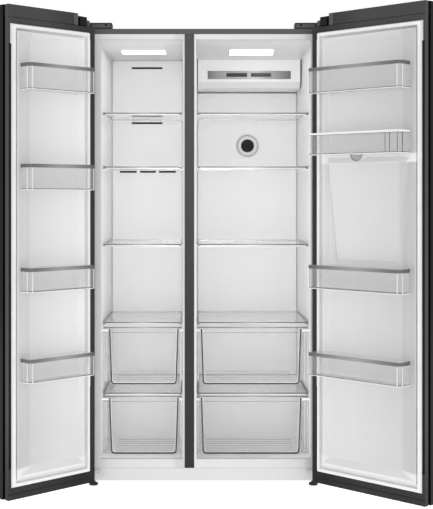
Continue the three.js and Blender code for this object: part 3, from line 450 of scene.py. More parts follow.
# ---------------------------------------------------------------- mesh building
class Piece:
    """One visible piece: faces gathered in a local frame, then placed and ridden on a body."""

    def __init__(self, name, body, matrix=None):
        self.name = name
        self.body = body
        self.matrix = matrix or Matrix.Identity(4)
        self.mesh = bmesh.new()

    def box(self, x, y, z):
        corners = [self.mesh.verts.new((a, b, c)) for a in x for b in y for c in z]
        for face in ((0, 1, 3, 2), (4, 6, 7, 5), (0, 4, 5, 1), (2, 3, 7, 6), (0, 2, 6, 4), (1, 5, 7, 3)):
            self.mesh.faces.new([corners[i] for i in face])
        return self

    def loft(self, rings, closed=True, caps=True):
        """Faces between rings of points, and a cap on each end."""
        made = [[self.mesh.verts.new(point) for point in ring] for ring in rings]
        count = len(made[0])
        for first, second in zip(made, made[1:]):
            for i in range(count if closed else count - 1):
                j = (i + 1) % count
                self.mesh.faces.new((first[i], first[j], second[j], second[i]))
        if caps:
            self.mesh.faces.new(made[0][::-1])
            self.mesh.faces.new(made[-1])
        return self

    def frame(self, profile, x, z, y=0.0):
        """A profile of (inset, height) points swept round the rectangle x by z, mitred at its corners."""
        rings = []
        for corner in range(4):
            at_x, at_z = corner in (1, 2), corner in (2, 3)
            rings.append([(x[1] - a if at_x else x[0] + a, y + b, z[1] - a if at_z else z[0] + a)
                          for a, b in profile])
        return self.loft([*rings, rings[0]], caps=False)

    def band(self, path, z, thickness):
        """A wall along a path in x and y, between two heights."""
        left = offset(path, thickness)
        rings = [[(*a, z[0]), (*b, z[0]), (*b, z[1]), (*a, z[1])] for a, b in zip(path, left)]
        return self.loft(rings)

    def pierced(self, xs, zs, holes, y):
        """A plate of cells between the cuts xs and zs, open at the cells named in holes."""
        solid = {(i, k) for i in range(len(xs) - 1) for k in range(len(zs) - 1)} - set(holes)
        for i, k in solid:
            a, b, c, d = xs[i], xs[i + 1], zs[k], zs[k + 1]
            for at in y:
                self.quad([(a, at, c), (b, at, c), (b, at, d), (a, at, d)])
            sides = {(i - 1, k): ((a, c), (a, d)), (i + 1, k): ((b, c), (b, d)),
                     (i, k - 1): ((a, c), (b, c)), (i, k + 1): ((a, d), (b, d))}
            for neighbour, (p, q) in sides.items():
                if neighbour not in solid:
                    self.quad([(p[0], y[0], p[1]), (q[0], y[0], q[1]),
                               (q[0], y[1], q[1]), (p[0], y[1], p[1])])
        return self

    def quad(self, points):
        self.mesh.faces.new([self.mesh.verts.new(point) for point in points])

    def turned(self, profile, centre, axis="Z", sides=32, arc=None):
        """A profile of (radius, height) points turned round an axis, or through a part of a turn."""
        start, end = arc or (0.0, 2 * math.pi)
        rings = []
        for i in range(sides + 1 if arc else sides):
            angle = start + (end - start) * i / sides
            ring = []
            for radius, height in profile:
                a, b = radius * math.cos(angle), radius * math.sin(angle)
                local = {"Z": (a, b, height), "Y": (a, height, b), "X": (height, a, b)}[axis]
                ring.append(Vector(centre) + Vector(local))
            rings.append(ring)
        if arc:
            return self.loft(rings)
        return self.loft([*rings, rings[0]], closed=False, caps=False)

    def done(self, look, bevel=0.0, segments=2, slot=None):
        bmesh.ops.remove_doubles(self.mesh, verts=self.mesh.verts, dist=WELD / 4)
        self.mesh.transform(self.matrix)
        bmesh.ops.recalc_face_normals(self.mesh, faces=self.mesh.faces)
        data = bpy.data.meshes.new(self.name)
        self.mesh.to_mesh(data)
        self.mesh.free()
        data.materials.append(look)
        made = bpy.data.objects.new(self.name, data)
        bpy.context.scene.collection.objects.link(made)
        if bevel:
            soften(made, bevel, segments)
        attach(made, self.body)
        return made


def offset(path, distance):
    """The path moved sideways to its left, mitred at its bends."""
    moved = []
    for i, point in enumerate(path):
        before = Vector(point) - Vector(path[i - 1]) if i else None
        after = Vector(path[i + 1]) - Vector(point) if i < len(path) - 1 else None
        directions = [d.normalized() for d in (before, after) if d is not None]
        normals = [Vector((-d.y, d.x)) for d in directions]
        normal = sum(normals, Vector((0, 0))).normalized()
        moved.append(tuple(Vector(point) + normal * (distance / normal.dot(normals[0]))))
    return moved


def soften(piece, width, segments=2):
    """Rounded edges, with flat faces still shaded flat."""
    piece.data.shade_smooth()
    bevel = piece.modifiers.new("edges", "BEVEL")
    bevel.width = width
    bevel.segments = segments
    bevel.limit_method = "ANGLE"
    bevel.angle_limit = math.radians(32)
    bevel.harden_normals = True


def dress(node, look, bevel=0.0008, segments=2):
    """A CAD node's finish, with its welded edges rounded."""
    piece = NODES[node]
    for place in piece.material_slots:
        place.material = look
    normals = piece.data.attributes.get("custom_normal")
    if normals:
        piece.data.attributes.remove(normals)
    piece.data.shade_smooth()
    weld = piece.modifiers.new("weld", "WELD")
    weld.merge_threshold = WELD
    flat = piece.modifiers.new("flats", "DECIMATE")
    flat.decimate_type = "DISSOLVE"
    flat.angle_limit = math.radians(0.5)
    soften(piece, bevel, segments)


# ---------------------------------------------------------------- finishes of the CAD nodes
CASING = box_of("cabinet_casing")
SHELF = box_of("freezer_shelf_1")
SHELF_TRIM = SHELF[1][0] + 0.008
door_white = moulded("door_liner_plastic", DOOR_WHITE)
duct_white = moulded("duct_plastic", (0.93, 0.93, 0.93), 0.32, 0.42, 1200.0)
black = moulded("black_plastic", (0.010, 0.010, 0.011), 0.4, 0.55, 700.0, 0.0001, gloss=0.12)
grey_cap = moulded("grey_plastic", (0.075, 0.075, 0.078), 0.38, 0.5, 800.0, 0.00008, gloss=0.25)
clear = clear_plastic("clear_plastic", (0.66, 0.66, 0.66), 0.03, 0.42)
drawer_clear = clear_plastic("drawer_plastic", (0.88, 0.88, 0.88), 0.05, 0.18)
# Thin clear lines: at the clear plastic's edges, bends and feet they are painted refraction shade, painted
# shadow and painted highlights; on the tank's lid seam, lid rim, filler cap and tap, the drawers' pull lines
# and floor ribs, and the basket floor ribs they are the parts' own colour
edge_dark = clear_plastic("dark_seam_and_painted_refraction_shade", (0.030, 0.030, 0.031), 0.90, 0.96)
edge_light = clear_plastic("white_trim_and_painted_highlight", (0.90, 0.90, 0.90), 0.7, 0.9)
edge_soft = clear_plastic("grey_trim_and_painted_shade", (0.20, 0.20, 0.20), 0.5, 0.7)
faint = clear_plastic("faint_edge", (0.50, 0.50, 0.50), 0.30, 0.45)
guide_plastic = clear_plastic("guide_plastic", (0.52, 0.52, 0.52), 0.45, 0.6)
zinc = galvanised()
gasket = rubber("gasket_rubber", (0.76, 0.76, 0.76))
black_rubber = rubber("black_rubber", (0.02, 0.02, 0.02))
screw_steel = bright_steel("screw_steel", (0.36, 0.36, 0.37))
lens = lamp()
shelf = glass(SHELF_TRIM, SHELF[1][1] - 0.006)


def dress_cabinet():
    dress("cabinet_casing", painted("casing_paint", FLANGE_GREY), 0.0012, 3)
    dress("mullion_trim", mullion_paint(*box_of("mullion_trim")[2]), 0.0006)
    for node in ("cabinet_back_panel", "cabinet_base_pan", "machine_room_cover",
                 "top_hinge_left", "top_hinge_right"):
        dress(node, zinc, 0.0004, 1)
    for side in ("left", "right"):
        dress(f"bottom_hinge_{side}", hinge_paint(), 0.0006)
    for node in ("hinge_cover_left", "hinge_cover_right"):
        dress(node, grey_cap, 0.0006)
    dress("cabinet_insulation", foam(), 0.0005, 1)
    for node in ("freezer_liner", "fridge_liner"):
        dress(node, liner_plastic(node), 0.0035, 3)
    dress("kick_plate", door_white, 0.0012, 3)
    for node in ("freezer_duct_cover", "fridge_duct_cover"):
        dress(node, duct_white, 0.0008)
    dress("fridge_air_outlet", moulded("outlet_plastic", (0.86, 0.86, 0.86), 0.32, 0.42, 1200.0), 0.0012, 3)
    for node in ("freezer_light_lens", "fridge_light_lens"):
        dress(node, lens, 0.0005)
    dress("air_purifier", moulded("purifier_ring", (0.56, 0.53, 0.54), 0.35, 0.45), 0.0012, 3)


def dress_fittings():
    for name in ("freezer", "fridge"):
        for i in (1, 2, 3):
            dress(f"{name}_shelf_{i}", shelf, 0.0005)
        for place in ("upper", "lower"):
            dress(f"{name}_drawer_cover_{place}", shelf, 0.0005)
            dress(f"{name}_drawer_{place}", drawer_clear, 0.0008)


def dress_doors():
    for door in DOORS:
        dress(f"{door.prefix}_door_panel", door_skin(door), 0.0012, 3)
        dress(f"{door.prefix}_door_liner", painted_door_liner(door), 0.002, 3)
        for node in door.baskets:
            dress(node, clear, 0.0006)
    dress("water_tank", clear, 0.001)
    dress("dispenser_housing", black, 0.0015)
    dress("dispenser_paddle", grey_cap, 0.0012)


def dress_machinery():
    enamel = moulded("black_enamel", (0.02, 0.02, 0.021), 0.3, 0.45, 300.0, 0.0001, 0.1, 0.3)
    dress("compressor", enamel, 0.0008)
    dress("condenser", fins("condenser_metal", (0.05, 0.05, 0.052)), 0.0004, 1)
    dress("evaporator", fins("evaporator_metal", (0.6, 0.61, 0.62)), 0.0004, 1)
    for node in ("condenser_fan", "evaporator_fan"):
        dress(node, black, 0.0005)
    for side in ("left", "right"):
        dress(f"levelling_foot_{side}", black_rubber, 0.001)
        dress(f"rear_roller_{side}", black_rubber, 0.0008)


# ---------------------------------------------------------------- door details
def basket_wall(door, node):
    """The plan of a basket's front and free end, from its hinge end round to the pocket."""
    (u0, u1), (back, front), _ = door.extent(node)
    return [(u0, front), (u1 - KINK[0] - KINK_CUT, front), (u1, front - KINK[1]), (u1, back + WALL_START)]


def basket_details(door, node, metal):
    (u0, u1), (_, front), (z0, z1) = door.extent(node)
    wall = basket_wall(door, node)
    under = (z0 + 0.001, z1 - RAIL_HEIGHT)
    # The rail and its lip carry a painted reflection; along the foot a grey line is painted shadow and a
    # bright band a painted highlight; the bright lines on the bends and at the hinge end are painted
    # highlights, and the grey line beside that end is painted refraction shade
    door.piece(f"{node}_rail").band(
        offset(wall, -SEAT), (z1 - RAIL_HEIGHT, z1 + SEAT), RAIL_PROUD + SEAT).done(metal, 0.0005)
    door.piece(f"{node}_rail_lip").band(
        offset(wall, -0.0026), (z1 - 0.001, z1 + SEAT), 0.0024).done(metal)
    door.piece(f"{node}_foot_line").band(
        offset(wall, -0.0002), (z0 + 0.0024, z0 + 0.0056), 0.0004).done(edge_soft)
    door.piece(f"{node}_foot_edge").band(
        offset(wall, -0.0002), (z0 - 0.0001, z0 + 0.0022), 0.0004).done(edge_light)
    bends = door.piece(f"{node}_bends")
    for near, far in ((wall[1], wall[0]), (wall[2], wall[3])):
        step = (Vector(far) - Vector(near)).normalized() * 0.0030
        bends.band(offset([near, tuple(Vector(near) + step)], 0.0002 if near is wall[2] else -0.0003),
                   under, 0.0004)
    bends.done(edge_light)
    door.piece(f"{node}_end_edge").box(
        (u0 - 0.0003, u0 + 0.0030), (front - 0.0024, front + 0.0003), under).done(edge_light)
    door.piece(f"{node}_end_line").box(
        (u0 + 0.0034, u0 + 0.0056), (front - 0.0003, front + 0.0003), under).done(edge_soft)
    ribs = door.piece(f"{node}_floor_ribs")
    count = round((u1 - u0 - 0.03) / 0.0125)
    for i in range(count):
        u = u0 + 0.015 + i * (u1 - u0 - 0.03) / (count - 1)
        ribs.box((u - 0.0006, u + 0.0006), (RIM_TOP + 0.006, front - 0.006), (z0 + 0.0023, z0 + 0.0036))
    ribs.done(edge_soft)


def gasket_details(door):
    """A bellows with its magnet bar, in place of the plain gasket."""
    node = f"{door.prefix}_door_gasket"
    u, v, z = door.extent(node)
    depth = v[1] - v[0]
    profile = [(0.0002, 0), (0.0138, 0), (0.0138, 0.14), (0.0112, 0.3), (0.0134, 0.46), (0.0116, 0.6),
               (0.0128, 0.7), (0.0128, 0.97), (0.0118, 1.0), (0.0026, 1.0), (0.0016, 0.97), (0.0016, 0.7),
               (0.0028, 0.6), (0.0008, 0.46), (0.0030, 0.3), (0.0002, 0.14)]
    made = door.piece(f"{door.prefix}_gasket_bellows").frame(
        [(a, b * depth) for a, b in profile], u, z, v[0]).done(gasket, 0.0004, 1, "gasket_rubber")
    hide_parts(node)


def band_details(door):
    """The cap on the raised band's end with its seam, the seam along the door's foot, and the stop block
    beside the hinge."""
    face = door.panel[1][1] - 0.002
    top = door.panel[2][1]
    foot = top - BAND_HEIGHT
    door.piece(f"{door.prefix}_band_cap").box(
        (BAND_START - 0.0003, BAND_START + 0.019), (face - SEAT, face + 0.0006), (foot, top - 0.0008)).done(
            grey_cap, 0.0005, 2, "black_plastic")
    door.piece(f"{door.prefix}_band_seam").box(
        (BAND_START + 0.0192, BAND_START + 0.0202), (face - SEAT, face + 0.0002),
        (foot, top - 0.001)).done(black)
    low = door.panel[2][0] + 0.019
    door.piece(f"{door.prefix}_foot_seam").box(
        (door.panel[0][0] + 0.004, door.panel[0][1] - 0.004), (face - SEAT + 0.002, face + 0.0022),
        (low, low + 0.0034)).done(black)
    door.piece(f"{door.prefix}_hinge_block").box(
        (0.020, 0.052), (0.0, 0.030), (foot + 0.0015, top - 0.009)).done(black, 0.002, 3, "black_plastic")


def hinge_cup(door):
    """The moulded collar round the pin, on the door's foot."""
    z = door.panel[2][0]
    door.piece(f"{door.prefix}_foot_bush").turned(
        [(0.0046, -0.001), (0.0085, -0.001), (0.0095, 0.0), (0.0095, 0.002), (0.0046, 0.002)],
        (0.0, 0.0, z)).done(black, 0.0003, 1)


def pocket_details(door):
    """Pressed creases at the foot and the top of the liner's pocket."""
    (u0, u1), _, (z0, z1) = door.extent(f"{door.prefix}_door_liner")
    creases = door.piece(f"{door.prefix}_liner_beads")
    v = (RIM_TOP - 0.0024, RIM_TOP - 0.0014)
    for z in (z0 + 0.0305, z1 - 0.0275):
        creases.box((u0 + 0.046, u1 - 0.026), v, (z - 0.0012, z + 0.0012))
    creases.done(door_white, 0.0005)


def tank_details(door):
    (u0, u1), (_, front), (tap_low, z1) = door.extent("water_tank")
    z0 = tap_low + TAP_HEIGHT
    wall = basket_wall(door, "water_tank")
    lid = z1 - 0.0072
    door.piece("tank_lid_rim").band(
        offset(wall, -SEAT), (lid, z1 + 0.0004), 0.0012).done(edge_light, 0.0004)
    door.piece("tank_lid_seam").band(
        offset(wall, -0.0012), (lid - 0.0014, lid - 0.0002), 0.001).done(edge_dark)
    # painted shadow and highlight: a grey line and a bright band along the tank's foot
    door.piece("tank_foot_line").band(
        offset(wall, -0.0008), (z0 + 0.0028, z0 + 0.0056), 0.001).done(edge_soft)
    door.piece("tank_foot_edge").band(offset(wall, -0.0008), (z0, z0 + 0.0028), 0.001).done(edge_light)
    # painted refraction shade: dark lines near the free end and at the kink; the strip after them is a
    # painted highlight along the hinge end
    ends = door.piece("tank_end_lines")
    for u in (u1 - 0.062, u1 - 0.044, u1 - KINK[0] - 0.004):
        ends.box((u, u + 0.0018), (front - 0.0008, front - 0.0002), (z0 + 0.003, lid - 0.002))
    ends.box((u1 - 0.0006, u1 + 0.0002), (front - KINK[1] - 0.0026, front - KINK[1]), (z0, lid))
    ends.done(edge_dark)
    door.piece("tank_hinge_edge").box(
        (u0 + 0.0002, u0 + 0.0026), (front - 0.003, front - 0.0002),
        (z0 + 0.003, lid - 0.002)).done(edge_light)
    middle = sum(ALCOVE) / 2
    tap = (middle, front - 0.001, z0 + 0.001)
    door.piece("tank_tap_ring").turned(
        [(0.0215, -0.001), (0.0262, -0.001), (0.0262, 0.0005), (0.0250, 0.0012), (0.0222, 0.0012),
         (0.0215, 0.0004)], tap, "Y", 24, (math.pi, 2 * math.pi)).done(edge_soft, 0.0003, 1)
    grip = door.piece("tank_tap_ribs")
    for i in range(-4, 5):
        u = middle + i * 0.0046
        reach = math.sqrt(0.0212 ** 2 - (u - middle) ** 2)
        grip.box((u - 0.0011, u + 0.0011), (tap[1] - 0.001, tap[1] + 0.0010),
                 (tap[2] - reach, tap[2] - 0.003))
    grip.done(edge_soft, 0.0003, 1)
    filler = (0.186, 0.078, z1)
    door.piece("tank_filler_cap").turned(
        [(0.0, 0.0012), (0.0180, 0.0012), (0.0205, 0.0006), (0.0215, -0.0006), (0.0215, -0.0060),
         (0.0, -0.0060)], filler).done(edge_light, 0.0004)


def dispenser_details(door):
    face = door.panel[1][0]
    _, _, (z0, z1) = door.extent("dispenser_housing")
    door.piece("dispenser_bezel").frame(
        [(0.0, 0.0006), (0.0, -0.0010), (0.0030, -0.0018), (0.0070, -0.0014), (0.0076, 0.0006)],
        (ALCOVE[0] - 0.006, ALCOVE[1] + 0.006), (z0 - 0.006, z1 + 0.006), face).done(
            screw_steel, 0.0004, 2, "black_plastic")
    panel = (z1 + 0.014, z1 + 0.084)
    door.piece("dispenser_panel").box(
        (ALCOVE[0], ALCOVE[1]), (face - 0.0012, face + SEAT), panel).done(
            moulded("panel_glass", (0.010, 0.011, 0.013), 0.05, 0.09, 40.0, 0.00002, coat=0.6), 0.0010, 3)
    keys = door.piece("dispenser_keys")
    for i in range(5):
        u = ALCOVE[0] + 0.022 + i * 0.028
        keys.turned([(0.0046, -0.0002), (0.0056, -0.0002), (0.0056, -0.0014), (0.0046, -0.0014)],
                    (u, face, panel[0] + 0.02), "Y", 24)
    keys.box((ALCOVE[0] + 0.05, ALCOVE[1] - 0.05), (face - 0.0014, face - 0.0004),
             (panel[1] - 0.022, panel[1] - 0.0205))
    keys.done(moulded("key_marks", (0.42, 0.44, 0.46), 0.3, 0.4), 0.0002, 1)
    door.piece("dispenser_nozzle_ring").turned(
        [(0.0070, 0.0), (0.0120, 0.0), (0.0128, 0.002), (0.0128, 0.006), (0.0112, 0.0075), (0.0070, 0.0075)],
        (sum(ALCOVE) / 2, 0.0, z1 - 0.0365)).done(screw_steel, 0.0004, 2)


def door_details():
    for door in DOORS:
        low, high = door.extent(door.baskets[0])[0]
        # the rails' metal carries a painted reflection
        metal = graded(f"{door.prefix}_rail_metal", (high, low), RAIL_GRADE, door)
        for node in door.baskets:
            basket_details(door, node, metal)
        gasket_details(door)
        band_details(door)
        hinge_cup(door)
        pocket_details(door)
    tank_details(DOORS[1])
    dispenser_details(DOORS[1])


# ---------------------------------------------------------------- compartment details
def hooked(x, z, radius):
    """A level line whose two ends bend downwards."""
    turns = [math.radians(a) for a in (0, 30, 60, 90)]
    arc = [(radius * (1 - math.cos(a)), radius * (math.sin(a) - 1)) for a in turns]
    left = [(x[0] + a, z + b) for a, b in arc]
    return left + [(x[1] - a, z + b) for a, b in reversed(arc)]


SWAP_YZ = Matrix(((1, 0, 0, 0), (0, 0, 1, 0), (0, 1, 0, 0), (0, 0, 0, 1)))


def upright(name, body="cabinet"):
    """A piece whose paths are drawn in X and Z, and whose heights run along Y."""
    return Piece(name, body, SWAP_YZ)


def shelf_lines(node, sheen, with_foot):
    x, y, z = box_of(node)
    level = z[1] - 0.0025
    front = (y[0] - 0.0003, y[0] + 0.0006)
    # the trim's front line and its foot carry a painted reflection, and the glint under the line is a painted
    # highlight
    upright(f"{node}_front_line").band(
        hooked((x[0] + 0.002, x[1] - 0.002), level, 0.0085), front, -0.0042).done(sheen)
    upright(f"{node}_front_glint").band(
        [(x[0] + 0.012, level - 0.0044), (x[1] - 0.012, level - 0.0044)], front, -0.0024).done(edge_light)
    if with_foot:
        upright(f"{node}_trim_foot").band(
            [(x[0] + 0.003, z[0] + 0.0030), (x[1] - 0.003, z[0] + 0.0030)], front, -0.0030).done(sheen)
    # painted refraction shade: lines along the glass's two sides
    sides = Piece(f"{node}_side_lines", "cabinet")
    for at in x:
        draft = 0.006 * (1 if at == x[0] else -1)
        foot = [(at + draft * 0.2, y[0] + 0.006), (at + draft * 0.9, y[0] + 0.006),
                (at + draft * 1.1, y[1] - 0.004), (at + draft * 0.4, y[1] - 0.004)]
        sides.loft([[(a, b, z[1] - 0.002 + h) for a, b in foot] for h in (0.0, 0.0022)])
    sides.done(edge_dark if with_foot else edge_soft)


def drawer_details(name, place):
    node = f"{name}_drawer_{place}"
    body = f"{name}_{place}_drawer"
    x, y, z = box_of(node)
    front = y[0] + 0.004
    left, right = x[0] + TUB["inset"], x[1] - TUB["inset"]
    radius, taper = TUB["radius"], TUB["taper"]
    turns = [i / 5 for i in range(6)]
    # a quadratic corner, as the drawer itself has
    arc = [(taper + 2 * t * (1 - t) * 0.001 + t * t * radius, (1 - t) ** 2 * radius) for t in turns]
    path = [(left, z[1] - 0.002)] + [(left + a, z[0] + b) for a, b in arc]
    path += [(right - a, z[0] + b) for a, b in reversed(arc)] + [(right, z[1] - 0.002)]
    # painted refraction shade along the tub's outline, and a painted highlight just inside it
    upright(f"{node}_outline", body).band(
        offset(path, 0.0002), (front - 0.0004, front + 0.0012), 0.0054).done(edge_dark)
    upright(f"{node}_inner_outline", body).band(
        offset(path, 0.0060), (front - 0.0003, front + 0.0008), 0.0018).done(edge_light)
    ribs = Piece(f"{node}_floor_ribs", body)
    count = 6
    for i in range(count):
        at = front + 0.045 + i * (y[1] - front - 0.09) / (count - 1)
        ribs.box((left + taper + radius, right - taper - radius), (at - 0.0012, at + 0.0012),
                 (z[0] + TUB["wall"] - 0.0003, z[0] + TUB["wall"] + 0.0012))
    ribs.done(faint)
    Piece(f"{node}_pull_line", body).box(
        (left + 0.0105, right - 0.0105), (y[0] - 0.0002, y[0] + 0.0008),
        (z[1] - 0.0165, z[1] - 0.0148)).done(edge_soft)


def drawer_guides(name, place):
    """Clear side guides that fill the space between a drawer and the walls, under its ledges."""
    x, y, z = box_of(f"{name}_drawer_{place}")
    wall = box_of(f"{name}_shelf_3")[0]
    guides = Piece(f"{name}_{place}_guides", "cabinet")
    edges = Piece(f"{name}_{place}_guide_edges", "cabinet")
    for outer, inner, hand in ((wall[0], x[0], 1), (wall[1], x[1], -1)):
        a, b = sorted((outer + hand * 0.003, inner - hand * 0.0008))
        guides.box((a, b), (y[0] + 0.010, y[0] + 0.013), (z[0] + 0.012, z[1] - 0.016))
        # painted highlights: two bright lines on each guide
        for k in (0.0, 0.5):
            at = outer + hand * (0.003 + k * (b - a))
            edges.box(sorted((at, at + hand * 0.0018)), (y[0] + 0.0092, y[0] + 0.0100),
                      (z[0] + 0.012, z[1] - 0.016))
    guides.done(guide_plastic, 0.0006)
    edges.done(edge_light)


def air_outlet_details():
    x, y, z = box_of("fridge_air_outlet")
    front = y[0]
    cuts = [x[0] + cut for cut in GRILLE_CUTS]
    heights = [z[0] + height for height in GRILLE_HEIGHTS]
    # painted reflections on the bar and its louvres
    sheen = graded("outlet_metal", (cuts[0], cuts[-1]), OUTLET_GRADE)
    Piece("air_outlet_bar", "cabinet").pierced(
        cuts, heights, [(1, 1), (3, 1)], (front - 0.0014, front + SEAT)).done(sheen, 0.0006)
    louvres = Piece("air_outlet_louvres", "cabinet")
    for a, b in ((cuts[1], cuts[2]), (cuts[3], cuts[4])):
        for i in range(3):
            at = heights[1] + 0.0028 + i * 0.0052
            louvres.box((a, b), (front + 0.0005, front + 0.0034), (at - 0.0010, at + 0.0010))
    louvres.done(graded("louvre_metal", (cuts[1], cuts[4]), LOUVRE_GRADE))
    Piece("air_outlet_backing", "cabinet").box(
        (cuts[1] - 0.002, cuts[4] + 0.002), (front + 0.0042, front + 0.0050),
        (heights[1] - 0.002, heights[2] + 0.002)).done(black)


def purifier_details():
    x, y, z = box_of("air_purifier")
    centre = (sum(x) / 2, y[0], sum(z) / 2)
    ring_plastic = moulded("ring_light", (0.80, 0.78, 0.79), 0.3, 0.4)
    Piece("purifier_light_ring", "cabinet").turned(
        [(0.0275, 0.0016), (0.0300, -0.0006), (0.0385, -0.0010), (0.0400, 0.0012), (0.0400, 0.003),
         (0.0275, 0.003)], centre, "Y", 48).done(ring_plastic, 0.0003, 1)
    disc = moulded("disc_plastic", (0.004, 0.004, 0.0044), 0.45, 0.6, gloss=0.05)
    Piece("purifier_disc", "cabinet").turned(
        [(0.0, -0.0036), (0.0205, -0.0030), (0.0248, -0.0016), (0.0262, 0.0010), (0.0262, 0.003),
         (0.0, 0.003)], centre, "Y", 48).done(disc, 0.0004, 2, "purifier_plastic")
    grille = Piece("purifier_grille", "cabinet")
    for radius in (0.0065, 0.0110, 0.0155, 0.0198):
        grille.turned([(radius, -0.0040), (radius + 0.0012, -0.0040), (radius + 0.0012, -0.0022),
                       (radius, -0.0022)], centre, "Y", 40)
    grille.done(grey_cap)


def duct_slots():
    """Painted shade: black sheets set in the mouths of the freezer duct's slots."""
    x, y, _ = box_of("freezer_duct_cover")
    face = y[0] + 0.003
    dark = Piece("freezer_duct_slot_shade", "cabinet")
    mouths = [(0.082, 0.212, z) for z in SLOT_HEIGHTS]
    mouths += [(a, b, 1.200) for a, b in ((0.032, 0.103), (0.117, 0.184), (0.197, 0.269))]
    for a, b, z in mouths:
        dark.box((x[0] + a, x[0] + b), (face + 0.0006, face + 0.0016), (z - 0.0040, z + 0.0040))
    dark.done(black)


def lens_frames():
    for name in ("freezer", "fridge"):
        x, y, z = box_of(f"{name}_light_lens")
        piece = Piece(f"{name}_lens_bezel", "cabinet")
        slope = (z[1] - z[0] - 0.004) / (y[1] - y[0])
        tilt = Matrix(((1, 0, 0, 0), (0, 1, 0, 0), (0, -slope, 1, z[0] + 0.004 + slope * y[1]), (0, 0, 0, 1)))
        piece.matrix = tilt @ SWAP_YZ
        piece.frame([(0.0, 0.0), (0.0, -0.0012), (0.0012, -0.0016), (0.0014, 0.0)],
                    (x[0] - 0.0018, x[1] + 0.0018), (y[0] - 0.0018, y[1] + 0.0018), -0.0002)
        piece.done(grey_cap, 0.0003, 1)


def compartment_details():
    for name in ("freezer", "fridge"):
        span = box_of(f"{name}_shelf_1")[0]
        sheen = graded(f"{name}_shelf_edge", span, TRIM_GRADE)
        for i in (1, 2, 3):
            shelf_lines(f"{name}_shelf_{i}", sheen, False)
        for place in ("upper", "lower"):
            shelf_lines(f"{name}_drawer_cover_{place}", sheen, True)
            drawer_details(name, place)
            drawer_guides(name, place)
    air_outlet_details()
    purifier_details()
    duct_slots()
    lens_frames()


# ---------------------------------------------------------------- hinges, back and foot
def screw(piece, centre, axis, sign, radius=0.0042, height=0.0016):
    """A domed head with a sunk centre."""
    profile = [(0.0, height * 0.45), (radius * 0.4, height * 0.45), (radius * 0.5, height),
               (radius * 0.8, height * 0.85), (radius, height * 0.3), (radius, -0.0005), (0.0, -0.0005)]
    piece.turned([(r, h * sign) for r, h in profile], centre, axis, 20)


def hinge_details():
    for side, hand in (("left", -1), ("right", 1)):
        x, _, z = box_of(f"hinge_cover_{side}")
        deck = CASING[1][0] + 0.001
        inner = x[1] if hand < 0 else x[0]
        plate = sorted((inner + hand * 0.0005, inner + hand * 0.080))
        Piece(f"hinge_cover_rim_{side}", "cabinet").frame(
            [(0.0, 0.0004), (0.0, -0.0005), (0.0032, -0.0007), (0.0036, 0.0004)],
            plate, (z[0] + 0.0005, z[1] - 0.0016), deck).done(black, 0.0003, 1)
        screws = Piece(f"hinge_cover_screws_{side}", "cabinet")
        screw(screws, (inner + hand * 0.022, deck, (z[0] + z[1]) / 2 + 0.002), "Y", -1, 0.0042, 0.0010)
        for reach in (0.016, 0.084):
            screw(screws, (inner + hand * reach, deck + 0.036, z[1]), "Z", 1, 0.0045, 0.0012)
        screws.done(black)
        lower = box_of(f"bottom_hinge_{side}")
        bolts = Piece(f"bottom_hinge_bolts_{side}", "cabinet")
        edge = lower[0][1] if hand < 0 else lower[0][0]
        for reach in (0.008, 0.026):
            screw(bolts, (edge + hand * reach, CASING[1][0] - 0.004, lower[2][1] - 0.010),
                  "Y", -1, 0.005, 0.0022)
        bolts.done(door_white)


def back_details():
    x, y, z = box_of("cabinet_back_panel")
    outer = y[1] - 0.002
    screws = Piece("back_panel_screws", "cabinet")
    for i in range(5):
        at = x[0] + 0.012 + i * (x[1] - x[0] - 0.024) / 4
        screw(screws, (at, outer, z[1] - 0.012), "Y", 1)
        screw(screws, (at, outer, z[0] + 0.014), "Y", 1)
    for i in range(1, 6):
        at = z[0] + i * (z[1] - z[0]) / 6
        screw(screws, (x[0] + 0.012, outer, at), "Y", 1)
        screw(screws, (x[1] - 0.012, outer, at), "Y", 1)
    screws.done(screw_steel)
    x, y, z = box_of("machine_room_cover")
    sheet = y[1] - 0.001
    screws = Piece("machine_cover_screws", "cabinet")
    for i in range(6):
        at = x[0] + 0.010 + i * (x[1] - x[0] - 0.020) / 5
        screw(screws, (at, sheet, z[1] - 0.008), "Y", 1, 0.0038, 0.0010)
        screw(screws, (at, sheet, z[0] + 0.008), "Y", 1, 0.0038, 0.0010)
    screws.done(screw_steel)
    blades = Piece("machine_cover_louvres", "cabinet")
    middle = (x[0] + x[1]) / 2
    for column in LOUVRE_COLUMNS:
        for row in range(6):
            at = 0.080 + row * 0.038
            ring = [(sheet - 0.0036, at + 0.0058), (sheet - 0.0028, at + 0.0060),
                    (sheet - 0.0002, at - 0.0050), (sheet - 0.0010, at - 0.0052)]
            blades.loft([[(middle + column + end * 0.0698, a, b) for a, b in ring] for end in (-1, 1)])
    blades.done(zinc)
    # a folded lip of the cover, which closes the gap under the back panel in front of the foam
    foam_back = box_of("cabinet_insulation")[1][1]
    panel_foot = box_of("cabinet_back_panel")[2][0]
    Piece("machine_cover_lip", "cabinet").box(
        (x[0] + 0.002, x[1] - 0.002), (foam_back - SEAT, foam_back + 0.0002),
        (z[1] - 0.003, panel_foot + 0.003)).done(zinc)
    Piece("gland_ring", "cabinet").turned(
        [(0.0030, -0.0026), (0.0044, -0.0026), (0.0044, -0.0002), (0.0070, -0.0002), (0.0066, 0.0),
         (0.0030, 0.0)], (middle - 0.415, y[1], 0.062), "Y", 24).done(black_rubber)
    Piece("rating_plate", "cabinet").box(
        (middle + 0.235, middle + 0.365), (outer - SEAT, outer + 0.0004),
        (0.420, 0.495)).done(screw_steel, 0.0002, 1)


